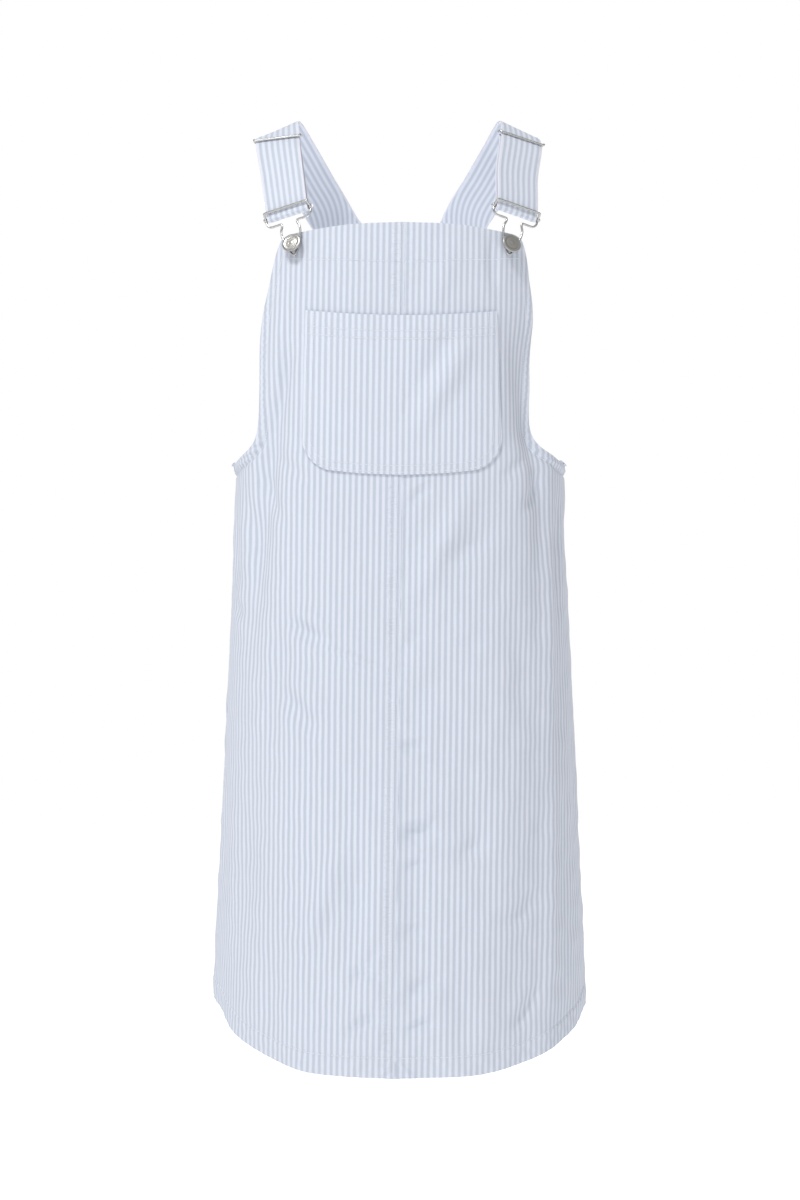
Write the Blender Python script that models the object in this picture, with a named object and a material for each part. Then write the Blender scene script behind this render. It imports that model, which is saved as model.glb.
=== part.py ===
"""Overall dress in striped cotton, filled out as if worn, with no wearer.

Frame: +Z up, the front faces -Y, and "left" is -X, as seen from the front. The origin lies midway between
the undersides of the two straps at the top of the shoulders, where a wearer holds the dress up.
The tables below are in millimetres, and MM turns them into metres.
"""

import math
from collections import namedtuple

import bmesh
import bpy
import numpy as np

MM = 0.001

# ---------------------------------------------------------------- driving sizes, in millimetres
CLOTH = 1.5          # wall of one panel
HEM_FOLD = 1.3       # extra cloth inside a turned hem
STRAP_CLOTH = 2.2    # a strap is two layers
GAP = 0.3            # left between pieces that touch
SEAM_GAP = 0.6       # left between the edges of two panels at a seam
SEAM_X_TOP = 5.4     # the centre-front seam leans a little
SEAM_X_HEM = -4.8
UNDERARM_Z = -329
HEM_DEPTH = 20       # turned hem of the skirt
BACK_BIB_Z = -130    # top of the back bib, where the straps are sewn on
WIRE = 1.1           # radius of the buckle and slider wire

# Sizes of the hollow form, from the outside. Each quarter of a section is a superellipse.
Section = namedtuple("Section", "z centre half_width front back power_left power_right power_back")
SECTIONS = (
    Section(-915, 0.0, 181.0, 153, 136, 2.1, 2.5, 2.2),
    Section(-855, 0.0, 181.5, 153, 134, 2.1, 2.5, 2.2),
    Section(-800, 0.0, 180.6, 151, 131, 2.1, 2.6, 2.2),
    Section(-690, 0.0, 175.7, 147, 124, 2.2, 2.7, 2.2),
    Section(-580, 0.0, 171.0, 141, 116, 2.4, 2.8, 2.2),
    Section(-460, 0.0, 165.0, 134, 108, 2.6, 2.9, 2.3),
    Section(-360, -0.9, 160.6, 125, 104, 2.7, 2.9, 2.4),
    Section(-329, -0.5, 160.0, 121, 104, 2.7, 2.8, 2.4),
    Section(-260, -0.5, 157.0, 114, 105, 2.6, 2.6, 2.4),
    Section(-200, -1.3, 154.0, 107, 105, 2.5, 2.5, 2.4),
    Section(-150, 0.3, 151.0, 100, 103, 2.4, 2.4, 2.4),
    Section(-98, 2.4, 148.0, 93, 99, 2.4, 2.4, 2.4),
    Section(-40, 2.4, 146.0, 86, 93, 2.4, 2.4, 2.4),
)

# Distance of each armhole edge from the middle, from the side seam up to the bib's corner. The mesh has
# one row for each of these.
Edge = namedtuple("Edge", "z half")
FRONT_EDGE = (
    Edge(-329.0, 160.0),
    Edge(-328.3, 159.2),
    Edge(-325.8, 156.0),
    Edge(-321.0, 150.5),
    Edge(-313.5, 142.8),
    Edge(-304.0, 138.0),
    Edge(-291.0, 135.6),
    Edge(-273.0, 134.3),
    Edge(-250.0, 133.5),
    Edge(-225.0, 133.0),
    Edge(-200.0, 131.6),
    Edge(-176.0, 128.8),
    Edge(-154.0, 125.7),
    Edge(-134.0, 122.5),
    Edge(-120.0, 119.2),
    Edge(-111.5, 115.0),
    Edge(-107.5, 108.5),
)
BACK_EDGE = (
    Edge(-329.0, 160.0),
    Edge(-328.0, 158.6),
    Edge(-324.0, 153.0),
    Edge(-316.0, 143.5),
    Edge(-304.0, 134.5),
    Edge(-288.0, 125.0),
    Edge(-268.0, 114.0),
    Edge(-246.0, 103.5),
    Edge(-222.0, 94.5),
    Edge(-198.0, 87.5),
    Edge(-174.0, 82.0),
    Edge(-152.0, 78.6),
    Edge(-130.0, 77.0),
)

# Lower edge of the skirt: low in the middle of the front and back, high at the side seams.
HemPoint = namedtuple("HemPoint", "share z")
HEM = (
    HemPoint(0.00, -910.3),
    HemPoint(0.27, -907.8),
    HemPoint(0.42, -900.8),
    HemPoint(0.59, -886.3),
    HemPoint(0.73, -870.4),
    HemPoint(0.84, -855.5),
    HemPoint(0.93, -848.5),
    HemPoint(1.00, -846.5),
)

# Upper edge of the front bib, from the centre seam to the corner beside the button.
BibPoint = namedtuple("BibPoint", "share z")
BIB_TOP = (BibPoint(0.0, -97.6), BibPoint(0.4, -99.0), BibPoint(0.8, -104.2), BibPoint(1.0, -107.5))

# Largest folds: a soft trough (depth under zero is a ridge) along a path that is given by its
# distance round the cloth from the centre line at its top, middle and bottom.
Fold = namedtuple("Fold", "panel top_z bottom_z top middle bottom width depth")
FOLDS = (
    Fold("front_left", -170, -560, 98, 141, 156, 16, 11.0),
    Fold("front_right", -165, -500, 98, 140, 152, 15, 8.0),
    Fold("front_right", -520, -980, 10, 17, 24, 13, 4.0),
    Fold("front_left", -560, -1010, 40, 52, 60, 24, 3.0),
    Fold("front_right", -600, -1010, 112, 120, 128, 26, 3.0),
    Fold("front_right", -310, -400, 215, 215, 215, 30, -3.0),
    Fold("back_left", -235, -560, 105, 132, 146, 17, 8.0),
    Fold("back_right", -225, -590, 100, 128, 150, 18, 9.0),
    Fold("back_left", -560, -1030, 62, 74, 86, 26, 4.5),
    Fold("back_right", -500, -1030, 30, 46, 58, 22, 4.0),
)

# The patch pocket lies on both front pieces. Its widths are measured from the centre seam.
POCKET_TOP_LEFT = 95
POCKET_TOP_RIGHT = 90
POCKET_BOTTOM_HALF = 97
POCKET_TOP_Z = -188
POCKET_TOP_RISE = 6      # its sides stand higher than its middle
POCKET_BOTTOM_Z = -341
POCKET_BOTTOM_RISE = 9
POCKET_CORNER = 29
POCKET_GAP = 0.6         # over the front

# Each strap's middle line over the shoulder, from the back to the front. across is its distance from the
# middle of the dress, tilt lifts its inner edge and yaw brings the inner edge forward, in degrees.
Station = namedtuple("Station", "across y z width tilt yaw")
STRAP_FREE = {
    -1: (
        Station(64.5, 92.5, -80, 46.5, 28, -12),
        Station(88.0, 74.0, -42, 46.0, 28, -2),
        Station(106.5, 44.0, -11, 44.5, 26, 6),
        Station(118.6, 8.0, 4.6, 43.5, 23, 9),
        Station(119.4, -20.0, -9.4, 43.5, 4, 6),
        Station(114.4, -47.0, -44, 43.0, 11, 15),
    ),
    1: (
        Station(64.5, 92.5, -80, 46.5, 28, -12),
        Station(88.0, 74.0, -42, 46.0, 28, -2),
        Station(106.5, 44.0, -11, 44.5, 26, 8),
        Station(117.4, 8.0, 4.6, 43.5, 23, 15),
        Station(119.8, -20.0, -9.4, 43.0, 12, 18),
        Station(115.2, -47.0, -44, 43.0, 13, 20),
    ),
}
Sewn = namedtuple("Sewn", "across z width tilt")
STRAP_SEWN_ON = (Sewn(45.0, -152, 60, 12), Sewn(46.5, -130, 57, 16), Sewn(53.0, -105, 51, 24))

BUTTON_ACROSS = 103      # from the middle of the bib, which is shifted a little to +X
BUTTON_SHIFT = 2.0
BUTTON_Z = -119.5
# How each buckle stands on its button: roll tips it out to the shoulder, turn faces it to the front and
# lean tips its top back, in degrees. lift is its wire's height over the cloth, bar_up its bar's over the
# button.
Pose = namedtuple("Pose", "roll turn lean lift bar_up")
BUCKLE_POSE = {-1: Pose(15.4, 8.6, 10.0, 4.3, 35.2), 1: Pose(16.2, 7.6, 9.6, 4.1, 36.2)}
BAR_RADIUS = 1.1
BAR_KNOB_RADIUS = 2.0
TURN_RADIUS = 2.6        # middle of the strap round the bar
SLIDER_KNOT = 4          # row of STRAP_FREE at the lower bar of the slider
SLIDER_HALF_HEIGHT = 5
SLIDER_CORNER = 2

# Right half of the buckle's wire, seen from the front: across, up from its bar, out from its plane.
WirePoint = namedtuple("WirePoint", "across up out")
BUCKLE_WIRE = (
    WirePoint(0.0, 4.6, 5.6),
    WirePoint(20.4, 4.6, 5.6),
    WirePoint(22.6, 3.6, 4.9),
    WirePoint(23.2, 1.4, 2.4),
    WirePoint(23.2, -1.5, 0.0),
    WirePoint(23.0, -5.0, 0.0),
    WirePoint(21.2, -8.0, 0.0),
    WirePoint(18.2, -9.2, 0.0),
    WirePoint(9.6, -9.2, 0.0),
    WirePoint(8.1, -10.4, 0.0),
    WirePoint(8.4, -13.0, 0.0),
    WirePoint(9.9, -17.5, 0.0),
    WirePoint(9.4, -24.0, 0.0),
    WirePoint(7.6, -31.0, 0.0),
    WirePoint(5.2, -38.0, 0.0),
    WirePoint(2.2, -43.6, 0.0),
)
BUCKLE_TIP = WirePoint(0.0, -45.4, 0.0)

# Profile of a button, from its foot on the cloth.
Turned = namedtuple("Turned", "radius height")
BUTTON_PROFILE = (
    Turned(2.6, 1.3),
    Turned(2.6, 6.1),
    Turned(8.9, 6.2),
    Turned(9.7, 6.8),
    Turned(9.7, 7.6),
    Turned(9.1, 8.3),
    Turned(7.3, 8.6),
    Turned(6.7, 8.3),
    Turned(2.2, 8.7),
)
BUTTON_TOP = 9.0
BUTTON_NOD = 8           # its cap is turned up more than the buckle
TACK_PROFILE = (Turned(4.8, -0.6), Turned(4.8, -1.3), Turned(3.2, -1.9))
TACK_TOP = -2.0

# ---------------------------------------------------------------- mesh density
LOWER_ROWS = 16
BIB_HEM_ROWS = 4         # rows in the bib's deep turned hem
HALF_COLUMNS = 16
SIDE_CROWDING = 0.35     # columns lie closer together towards the side
SECTION_STEPS = 90
POCKET_ROWS = 11
POCKET_COLUMNS = 14
STRAP_COLUMNS = 3


# ---------------------------------------------------------------- scene, materials
def clear_scene():
    for obj in list(bpy.data.objects):
        bpy.data.objects.remove(obj, do_unlink=True)


def material(name, colour, roughness, metallic):
    made = bpy.data.materials.new(name)
    made.use_nodes = True
    shader = made.node_tree.nodes["Principled BSDF"]
    shader.inputs["Base Color"].default_value = (*colour, 1.0)
    shader.inputs["Roughness"].default_value = roughness
    shader.inputs["Metallic"].default_value = metallic
    made.diffuse_color = (*colour, 1.0)
    return made


# ---------------------------------------------------------------- curves through the tables
class Curve:
    """A smooth curve through two columns of a table."""

    def __init__(self, rows, key, column):
        pairs = sorted((getattr(row, key), getattr(row, column)) for row in rows)
        self.at = np.array([pair[0] for pair in pairs], float)
        self.value = np.array([pair[1] for pair in pairs], float)
        steps = np.diff(self.value) / np.diff(self.at)
        product = steps[:-1] * steps[1:]
        total = steps[:-1] + steps[1:]
        inner = np.where(product > 0, 2 * product / (total + 1e-12), 0)
        self.slope = np.concatenate([steps[:1], inner, steps[-1:]])

    def __call__(self, at):
        at = min(max(at, self.at[0]), self.at[-1])
        i = min(int(np.searchsorted(self.at, at, side="right")) - 1, len(self.at) - 2)
        span = self.at[i + 1] - self.at[i]
        t = (at - self.at[i]) / span
        start, end = self.value[i], self.value[i + 1]
        out, into = self.slope[i] * span, self.slope[i + 1] * span
        return (
            start * (1 + 2 * t) * (1 - t) ** 2
            + out * t * (1 - t) ** 2
            + end * t * t * (3 - 2 * t)
            + into * t * t * (t - 1)
        )


SIZE = {name: Curve(SECTIONS, "z", name) for name in Section._fields[1:]}
HEM_Z = Curve(HEM, "share", "z")
BIB_TOP_Z = Curve(BIB_TOP, "share", "z")


def seam_x(z):
    """Where the centre-front seam lies."""
    share = (z - BIB_TOP[0].z) / (HEM[0].z - BIB_TOP[0].z)
    return SEAM_X_TOP + (SEAM_X_HEM - SEAM_X_TOP) * share


def quarter(z, face, side):
    """One quarter of a section, from the middle to the side, as points (x, y)."""
    if face == "back":
        power = SIZE["power_back"](z)
    else:
        power = SIZE["power_left" if side < 0 else "power_right"](z)
    depth = SIZE[face](z) * (1 if face == "back" else -1)
    angle = np.linspace(0, math.pi / 2, SECTION_STEPS)
    x = SIZE["centre"](z) + side * SIZE["half_width"](z) * np.sin(angle) ** (2 / power)
    y = depth * np.cos(angle) ** (2 / power)
    return np.stack([x, y], axis=1)


class Round:
    """A quarter of a section: points and outward directions by distance round the cloth."""

    def __init__(self, z, face, side):
        own = quarter(z, face, side)
        other = quarter(z, face, -side)
        line = np.concatenate([other[: SECTION_STEPS // 3][::-1], own[1:]])
        run = np.concatenate([[0], np.cumsum(np.linalg.norm(np.diff(line, axis=0), axis=1))])
        middle = seam_x(z) if face == "front" else SIZE["centre"](z)
        start = np.interp(side * middle, side * line[:, 0], run)
        self.line, self.run = line, run - start
        self.length = self.run[-1]
        self.side, self.face = side, face
        along = np.gradient(line, axis=0)
        along /= np.linalg.norm(along, axis=1)[:, None]
        turn = side * (-1 if face == "back" else 1)
        self.out = np.stack([along[:, 1], -along[:, 0]], axis=1) * turn

    def point(self, run):
        return np.array([np.interp(run, self.run, self.line[:, k]) for k in (0, 1)])

    def outward(self, run):
        out = np.array([np.interp(run, self.run, self.out[:, k]) for k in (0, 1)])
        return out / np.linalg.norm(out)

    def run_at(self, x):
        """Distance round the cloth of the point whose x is given."""
        return np.interp(self.side * x, self.side * self.line[:, 0], self.run)


def fold_depth(panel, run, z):
    """How far the folds move this point of a panel inwards."""
    total = 0.0
    for fold in FOLDS:
        if fold.panel != panel or not fold.bottom_z < z < fold.top_z:
            continue
        t = (fold.top_z - z) / (fold.top_z - fold.bottom_z)
        centre = fold.top * (1 - t) * (1 - 2 * t) + fold.bottom * t * (2 * t - 1)
        centre += fold.middle * 4 * t * (1 - t)
        total += fold.depth * math.sin(math.pi * t) ** 2 * math.exp(-(((run - centre) / fold.width) ** 2))
    return total


def surface(face, side, run, z, out=0.0):
    """A point of the outer surface, moved out, by its distance round the cloth from the centre."""
    section = Round(z, face, side)
    flat = section.point(run)
    panel = face + ("_left" if side < 0 else "_right")
    flat = flat + section.outward(run) * (out - fold_depth(panel, run, z))
    return np.array([flat[0], flat[1], z])


# ---------------------------------------------------------------- solids from grids
def grid_normals(grid):
    """Unit normals of a grid of points, pointing away from the dress's middle axis."""
    down = np.gradient(grid, axis=0)
    across = np.gradient(grid, axis=1)
    normal = np.cross(down, across)
    normal /= np.linalg.norm(normal, axis=2)[:, :, None]
    outward = grid * np.array([1, 1, 0])
    return normal if (normal * outward).sum() > 0 else -normal


def solid(name, outer, inner, made_of):
    """A closed wall between two grids of points, in millimetres."""
    rows, columns = outer.shape[:2]
    mesh = bmesh.new()
    top = [[mesh.verts.new(outer[i, j] * MM) for j in range(columns)] for i in range(rows)]
    low = [[mesh.verts.new(inner[i, j] * MM) for j in range(columns)] for i in range(rows)]
    for i in range(rows - 1):
        for j in range(columns - 1):
            mesh.faces.new((top[i][j], top[i][j + 1], top[i + 1][j + 1], top[i + 1][j]))
            mesh.faces.new((low[i][j], low[i + 1][j], low[i + 1][j + 1], low[i][j + 1]))
    rim = [(i, 0) for i in range(rows)] + [(rows - 1, j) for j in range(1, columns)]
    rim += [(i, columns - 1) for i in range(rows - 2, -1, -1)] + [(0, j) for j in range(columns - 2, 0, -1)]
    for (a, b), (c, d) in zip(rim, rim[1:] + rim[:1]):
        mesh.faces.new((top[a][b], top[c][d], low[c][d], low[a][b]))
    return finish(name, mesh, made_of)


def finish(name, mesh, made_of):
    bmesh.ops.recalc_face_normals(mesh, faces=mesh.faces)
    data = bpy.data.meshes.new(name)
    mesh.to_mesh(data)
    mesh.free()
    data.materials.append(made_of)
    data.shade_smooth()
    data.set_sharp_from_angle(angle=math.radians(40))
    obj = bpy.data.objects.new(name, data)
    bpy.context.scene.collection.objects.link(obj)
    return obj


def tube(name, points, radius, sides, made_of):
    """A closed wire ring through points, in millimetres."""
    points = np.array(points, float)
    count = len(points)
    along = np.roll(points, -1, axis=0) - np.roll(points, 1, axis=0)
    along /= np.linalg.norm(along, axis=1)[:, None]
    flat = np.linalg.svd(points - points.mean(axis=0))[2][2]
    mesh = bmesh.new()
    rings = []
    for i in range(count):
        a = np.cross(along[i], flat)
        a /= np.linalg.norm(a)
        b = np.cross(along[i], a)
        turns = [2 * math.pi * k / sides for k in range(sides)]
        ring = [points[i] + radius * (math.cos(t) * a + math.sin(t) * b) for t in turns]
        rings.append([mesh.verts.new(p * MM) for p in ring])
    for i in range(count):
        first, second = rings[i], rings[(i + 1) % count]
        for k in range(sides):
            n = (k + 1) % sides
            mesh.faces.new((first[k], first[n], second[n], second[k]))
    return finish(name, mesh, made_of)


def turned(name, profile, top, foot, axis, segments, made_of):
    """A turned solid on an axis, closed by a point at its end."""
    axis = axis / np.linalg.norm(axis)
    a = np.cross(axis, [0, 0, 1])
    a /= np.linalg.norm(a)
    b = np.cross(axis, a)
    mesh = bmesh.new()
    rings = []
    for row in profile:
        turns = [2 * math.pi * k / segments for k in range(segments)]
        ring = [foot + axis * row.height + row.radius * (math.cos(t) * a + math.sin(t) * b) for t in turns]
        rings.append([mesh.verts.new(p * MM) for p in ring])
    ends = [mesh.verts.new((foot + axis * h) * MM) for h in (profile[0].height, top)]
    for k in range(segments):
        n = (k + 1) % segments
        for first, second in zip(rings, rings[1:]):
            mesh.faces.new((first[k], first[n], second[n], second[k]))
        mesh.faces.new((rings[0][n], rings[0][k], ends[0]))
        mesh.faces.new((rings[-1][k], rings[-1][n], ends[1]))
    return finish(name, mesh, made_of)


# ---------------------------------------------------------------- panels
def column_share(j):
    t = j / HALF_COLUMNS
    return t * (1 + SIDE_CROWDING * (1 - t))


def skirt_rows(face, side, first):
    """Rows from the hem up to the underarm. The lowest two mark the turned hem."""
    rows = []
    for i in range(LOWER_ROWS):
        row = []
        for j in range(HALF_COLUMNS + 1):
            low = HEM_Z(column_share(j))
            hem = HEM_DEPTH / (UNDERARM_Z - low)
            up = hem + (1 - hem) * (i - 1) / (LOWER_ROWS - 1) if i else 0.0
            z = low + (UNDERARM_Z - low) * up
            last = Round(z, face, side).length - SEAM_GAP / 2
            row.append(surface(face, side, first + (last - first) * column_share(j), z))
        rows.append(row)
    return rows


def bib_rows(face, side, first, edge, top):
    """One row for each row of the armhole's table, from the underarm up to the bib's top."""
    rows = []
    for i, corner in enumerate(edge):
        rise = i / (len(edge) - 1)
        section = Round(corner.z, face, side)
        last = section.run_at(SIZE["centre"](corner.z) + side * corner.half)
        if i == 0:
            last = section.length - SEAM_GAP / 2
        middle = UNDERARM_Z + (top(0) - UNDERARM_Z) * rise
        row = []
        for j in range(HALF_COLUMNS + 1):
            share = column_share(j)
            bow = top(share) - top(0) - (top(1) - top(0)) * share
            z = middle + (corner.z - middle) * share + bow * rise
            row.append(surface(face, side, first + (last - first) * share, z))
        rows.append(row)
    return rows


def half_panel(face, side, edge, top):
    """Outer points of half a panel, rows from the hem up, columns from its centre line to its edge."""
    first = SEAM_GAP / 2 if face == "front" else 0.0
    return np.array(skirt_rows(face, side, first) + bib_rows(face, side, first, edge, top))


def panel_wall(grid, bib_hem_rows, edge_columns):
    """Wall at each point: one layer of cloth, and more in the turned hems."""
    wall = np.full(grid.shape[:2], CLOTH)
    wall[:2] += HEM_FOLD
    wall[grid.shape[0] - bib_hem_rows :] += HEM_FOLD
    upper = wall[LOWER_ROWS : grid.shape[0] - bib_hem_rows]
    for column in edge_columns:
        upper[:, column] += HEM_FOLD
    return wall


def panel(name, grid, wall, made_of):
    return solid(name, grid, grid - grid_normals(grid) * wall[:, :, None], made_of)


def front_panel(side, made_of):
    name = "front_left" if side < 0 else "front_right"
    grid = half_panel("front", side, FRONT_EDGE, BIB_TOP_Z)
    return panel(name, grid, panel_wall(grid, BIB_HEM_ROWS, (-1, -2)), made_of)


def back_panel(made_of):
    halves = [half_panel("back", side, BACK_EDGE, lambda share: BACK_BIB_Z) for side in (-1, 1)]
    grid = np.concatenate([halves[0][:, ::-1], halves[1][:, 1:]], axis=1)
    return panel("back", grid, panel_wall(grid, 2, (0, 1, -2, -1)), made_of)


def on_front(run, z, out):
    """A point of the front surface, at a signed distance from the centre seam, moved out."""
    side = -1 if run < 0 else 1
    return surface("front", side, abs(run), z, out)


def bib_pocket(made_of):
    """The patch pocket: its points are the front's, moved out."""
    height = POCKET_TOP_Z - POCKET_BOTTOM_Z
    outer, inner = [], []
    for i in range(POCKET_ROWS + 1):
        down = math.sin(math.pi / 2 * i / POCKET_ROWS) * 0.985
        into_corner = max(0.0, (down * height - (height - POCKET_CORNER)) / POCKET_CORNER)
        cut = POCKET_CORNER * (1 - math.sqrt(1 - min(into_corner, 0.98) ** 2))
        left = POCKET_TOP_LEFT + (POCKET_BOTTOM_HALF - POCKET_TOP_LEFT) * down - cut
        right = POCKET_TOP_RIGHT + (POCKET_BOTTOM_HALF - POCKET_TOP_RIGHT) * down - cut
        outer_row, inner_row = [], []
        for j in range(POCKET_COLUMNS + 1):
            run = -left + (left + right) * j / POCKET_COLUMNS
            rise = (run / POCKET_BOTTOM_HALF) ** 2
            top = POCKET_TOP_Z + POCKET_TOP_RISE * rise
            bottom = POCKET_BOTTOM_Z + POCKET_BOTTOM_RISE * rise
            z = top + (bottom - top) * down
            outer_row.append(on_front(run, z, POCKET_GAP + CLOTH))
            inner_row.append(on_front(run, z, POCKET_GAP))
        outer.append(outer_row)
        inner.append(inner_row)
    return solid("bib_pocket", np.array(outer), np.array(inner), made_of)


# ---------------------------------------------------------------- straps
class StrapLine:
    """The middle line of a strap with its width direction, by distance from its end on the back bib."""

    def __init__(self, side):
        self.side = side
        self.width_at_bar = STRAP_FREE[side][-1].width
        knots = [self.sewn(row) for row in STRAP_SEWN_ON]
        knots += [self.free(row) for row in STRAP_FREE[side]]
        knots.append(self.at_buckle(knots[-1][:3]))
        self.knots = np.array(knots)
        self.place, self.across, self.width = self.knots[:, :3], self.knots[:, 3:6], self.knots[:, 6]
        chords = np.linalg.norm(np.diff(self.place, axis=0), axis=1)
        self.at = np.concatenate([[0], np.cumsum(chords)])
        self.slopes = self.knot_slopes()

    def inward(self, tilt, yaw):
        tilt, yaw = math.radians(tilt), math.radians(yaw)
        return [
            -self.side * math.cos(tilt) * math.cos(yaw),
            -math.cos(tilt) * math.sin(yaw),
            math.sin(tilt),
        ]

    def free(self, row):
        return [self.side * row.across, row.y, row.z, *self.inward(row.tilt, row.yaw), row.width]

    def sewn(self, row):
        """A place on the back bib, just clear of its outside."""
        section = Round(row.z, "back", self.side)
        run = section.run_at(SIZE["centre"](row.z) + self.side * row.across)
        x, y, z = surface("back", self.side, run, row.z, GAP + 0.2 + STRAP_CLOTH / 2)
        out = section.outward(run)
        yaw = -math.degrees(math.atan2(abs(out[0]), out[1]))
        return [x, y, z, *self.inward(row.tilt, yaw), row.width]

    def at_buckle(self, before):
        """The front of the buckle's bar, where the strap turns round it."""
        frame = buckle_frame(self.side)
        chord = frame.origin - np.array(before)
        self.last_slope = chord / np.linalg.norm(chord) - frame.up
        self.last_slope -= frame.across * self.last_slope.dot(frame.across)
        self.last_slope /= np.linalg.norm(self.last_slope)
        out = np.cross(self.last_slope, frame.across)
        place = frame.origin + out * TURN_RADIUS
        return [*place, *(frame.across * -self.side), self.width_at_bar]

    def knot_slopes(self):
        slopes = np.gradient(self.place, self.at, axis=0)
        slopes /= np.linalg.norm(slopes, axis=1)[:, None]
        slopes[-1] = self.last_slope
        return slopes

    def sample(self, at):
        """Place, forward direction, inward width direction, outward normal and width at a distance."""
        at = min(max(at, 0.0), self.at[-1])
        i = min(int(np.searchsorted(self.at, at, side="right")) - 1, len(self.at) - 2)
        span = self.at[i + 1] - self.at[i]
        t = (at - self.at[i]) / span
        h = ((1 + 2 * t) * (1 - t) ** 2, t * (1 - t) ** 2, t * t * (3 - 2 * t), t * t * (t - 1))
        dh = (6 * t * t - 6 * t, 3 * t * t - 4 * t + 1, 6 * t - 6 * t * t, 3 * t * t - 2 * t)
        ends = (self.place[i], self.slopes[i] * span, self.place[i + 1], self.slopes[i + 1] * span)
        place = sum(w * e for w, e in zip(h, ends))
        forward = sum(w * e for w, e in zip(dh, ends))
        forward /= np.linalg.norm(forward)
        ease = t * t * (3 - 2 * t)
        width = self.width[i] * (1 - ease) + self.width[i + 1] * ease
        across = self.across[i] * (1 - ease) + self.across[i + 1] * ease
        across -= forward * across.dot(forward)
        across /= np.linalg.norm(across)
        out = np.cross(forward, across) * -self.side
        return place, forward, across, out, width


def strap(side, made_of):
    """The strap: over the shoulder, round the buckle's bar and back up behind itself."""
    line = StrapLine(side)
    rows = []
    length = line.at[-1]
    steps = 52
    for i in range(steps):
        place, _, across, out, width = line.sample(length * i / steps)
        rows.append((place, across, out, width))
    place, forward, across, out, width = line.sample(length)
    bar = place - out * TURN_RADIUS
    for k in range(9):
        angle = math.pi * k / 8
        spoke = out * math.cos(angle) + forward * math.sin(angle)
        rows.append((bar + spoke * TURN_RADIUS, across, spoke, width))
    back_start = length - 4
    back_end = slider_at(line) - 3
    for i in range(13):
        at = back_start + (back_end - back_start) * i / 12
        place, _, across, out, width = line.sample(at)
        rows.append((place - out * 2 * TURN_RADIUS, across, -out, width))
    shares = [j / STRAP_COLUMNS - 0.5 for j in range(STRAP_COLUMNS + 1)]
    half = STRAP_CLOTH / 2
    outer = [[p + a * w * s + o * half for s in shares] for p, a, o, w in rows]
    inner = [[p + a * w * s - o * half for s in shares] for p, a, o, w in rows]
    name = "strap_left" if side < 0 else "strap_right"
    return solid(name, np.array(outer), np.array(inner), made_of)


def slider_at(line):
    """Distance along the strap of its slide ring."""
    return line.at[len(STRAP_SEWN_ON) + SLIDER_KNOT] - SLIDER_HALF_HEIGHT


def slider(side, made_of):
    """A slide ring: its lower bar passes in front of the strap and its upper bar behind it."""
    line = StrapLine(side)
    middle = slider_at(line)
    half = line.sample(middle)[4] / 2 + GAP + WIRE
    out = STRAP_CLOTH / 2 + 2 * GAP + WIRE
    corner = ((0.0, 1.0), (0.62, 0.92), (0.92, 0.62), (1.0, 0.0))
    up = []
    for grow, rise in corner:
        up.append((half - SLIDER_CORNER * (1 - grow), SLIDER_HALF_HEIGHT * rise))
    points = [(0.0, SLIDER_HALF_HEIGHT), (half * 0.55, SLIDER_HALF_HEIGHT)] + up
    points += [(u, -v) for u, v in up[-2::-1]]
    points += [(half * 0.55, -SLIDER_HALF_HEIGHT), (0.0, -SLIDER_HALF_HEIGHT)]
    points += [(-u, v) for u, v in points[-2:0:-1]]
    ring = []
    for u, v in points:
        place, _, across, normal, _ = line.sample(middle - v)
        share = min(max(v / SLIDER_HALF_HEIGHT * 1.25, -1), 1)
        ring.append(place + across * u - normal * out * math.sin(share * math.pi / 2))
    name = "slider_left" if side < 0 else "slider_right"
    return tube(name, ring, WIRE, 6, made_of)


# ---------------------------------------------------------------- buckles and buttons
class Frame:
    """A plane with its own directions: across to +X, up, and out from the dress."""

    def __init__(self, origin, across, up, out):
        self.origin, self.across, self.up, self.out = origin, across, up, out

    def place(self, across, up, out):
        return self.origin + self.across * across + self.up * up + self.out * out


def button_foot(side):
    """The button's foot on the cloth and the cloth's outward direction there."""
    section = Round(BUTTON_Z, "front", side)
    run = section.run_at(BUTTON_SHIFT + side * BUTTON_ACROSS)
    foot = surface("front", side, run, BUTTON_Z)
    above = surface("front", side, run, BUTTON_Z + 4)
    beside = surface("front", side, run + 4, BUTTON_Z)
    out = np.cross(above - foot, (beside - foot) * -side)
    out /= np.linalg.norm(out)
    return foot, out if out[1] < 0 else -out


def buckle_frame(side):
    """The buckle's plane. Its origin is the middle of the bar."""
    foot, out = button_foot(side)
    pose = BUCKLE_POSE[side]
    turn = math.radians(pose.turn) * side
    x, y, z = out
    out = np.array([x * math.cos(turn) + y * math.sin(turn), y * math.cos(turn) - x * math.sin(turn), z])
    upright = np.array([0, 0, 1]) - out * out[2]
    upright /= np.linalg.norm(upright)
    across = np.cross(upright, out) * -1
    across /= np.linalg.norm(across)
    if across[0] < 0:
        across = -across
    roll = math.radians(pose.roll) * side
    up = upright * math.cos(roll) + across * math.sin(roll)
    across = across * math.cos(roll) - upright * math.sin(roll)
    lean = math.radians(pose.lean)
    leaned_up = up * math.cos(lean) - out * math.sin(lean)
    leaned_out = out * math.cos(lean) + up * math.sin(lean)
    start = foot + out * pose.lift
    return Frame(start + leaned_up * pose.bar_up, across, leaned_up, leaned_out)


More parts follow.
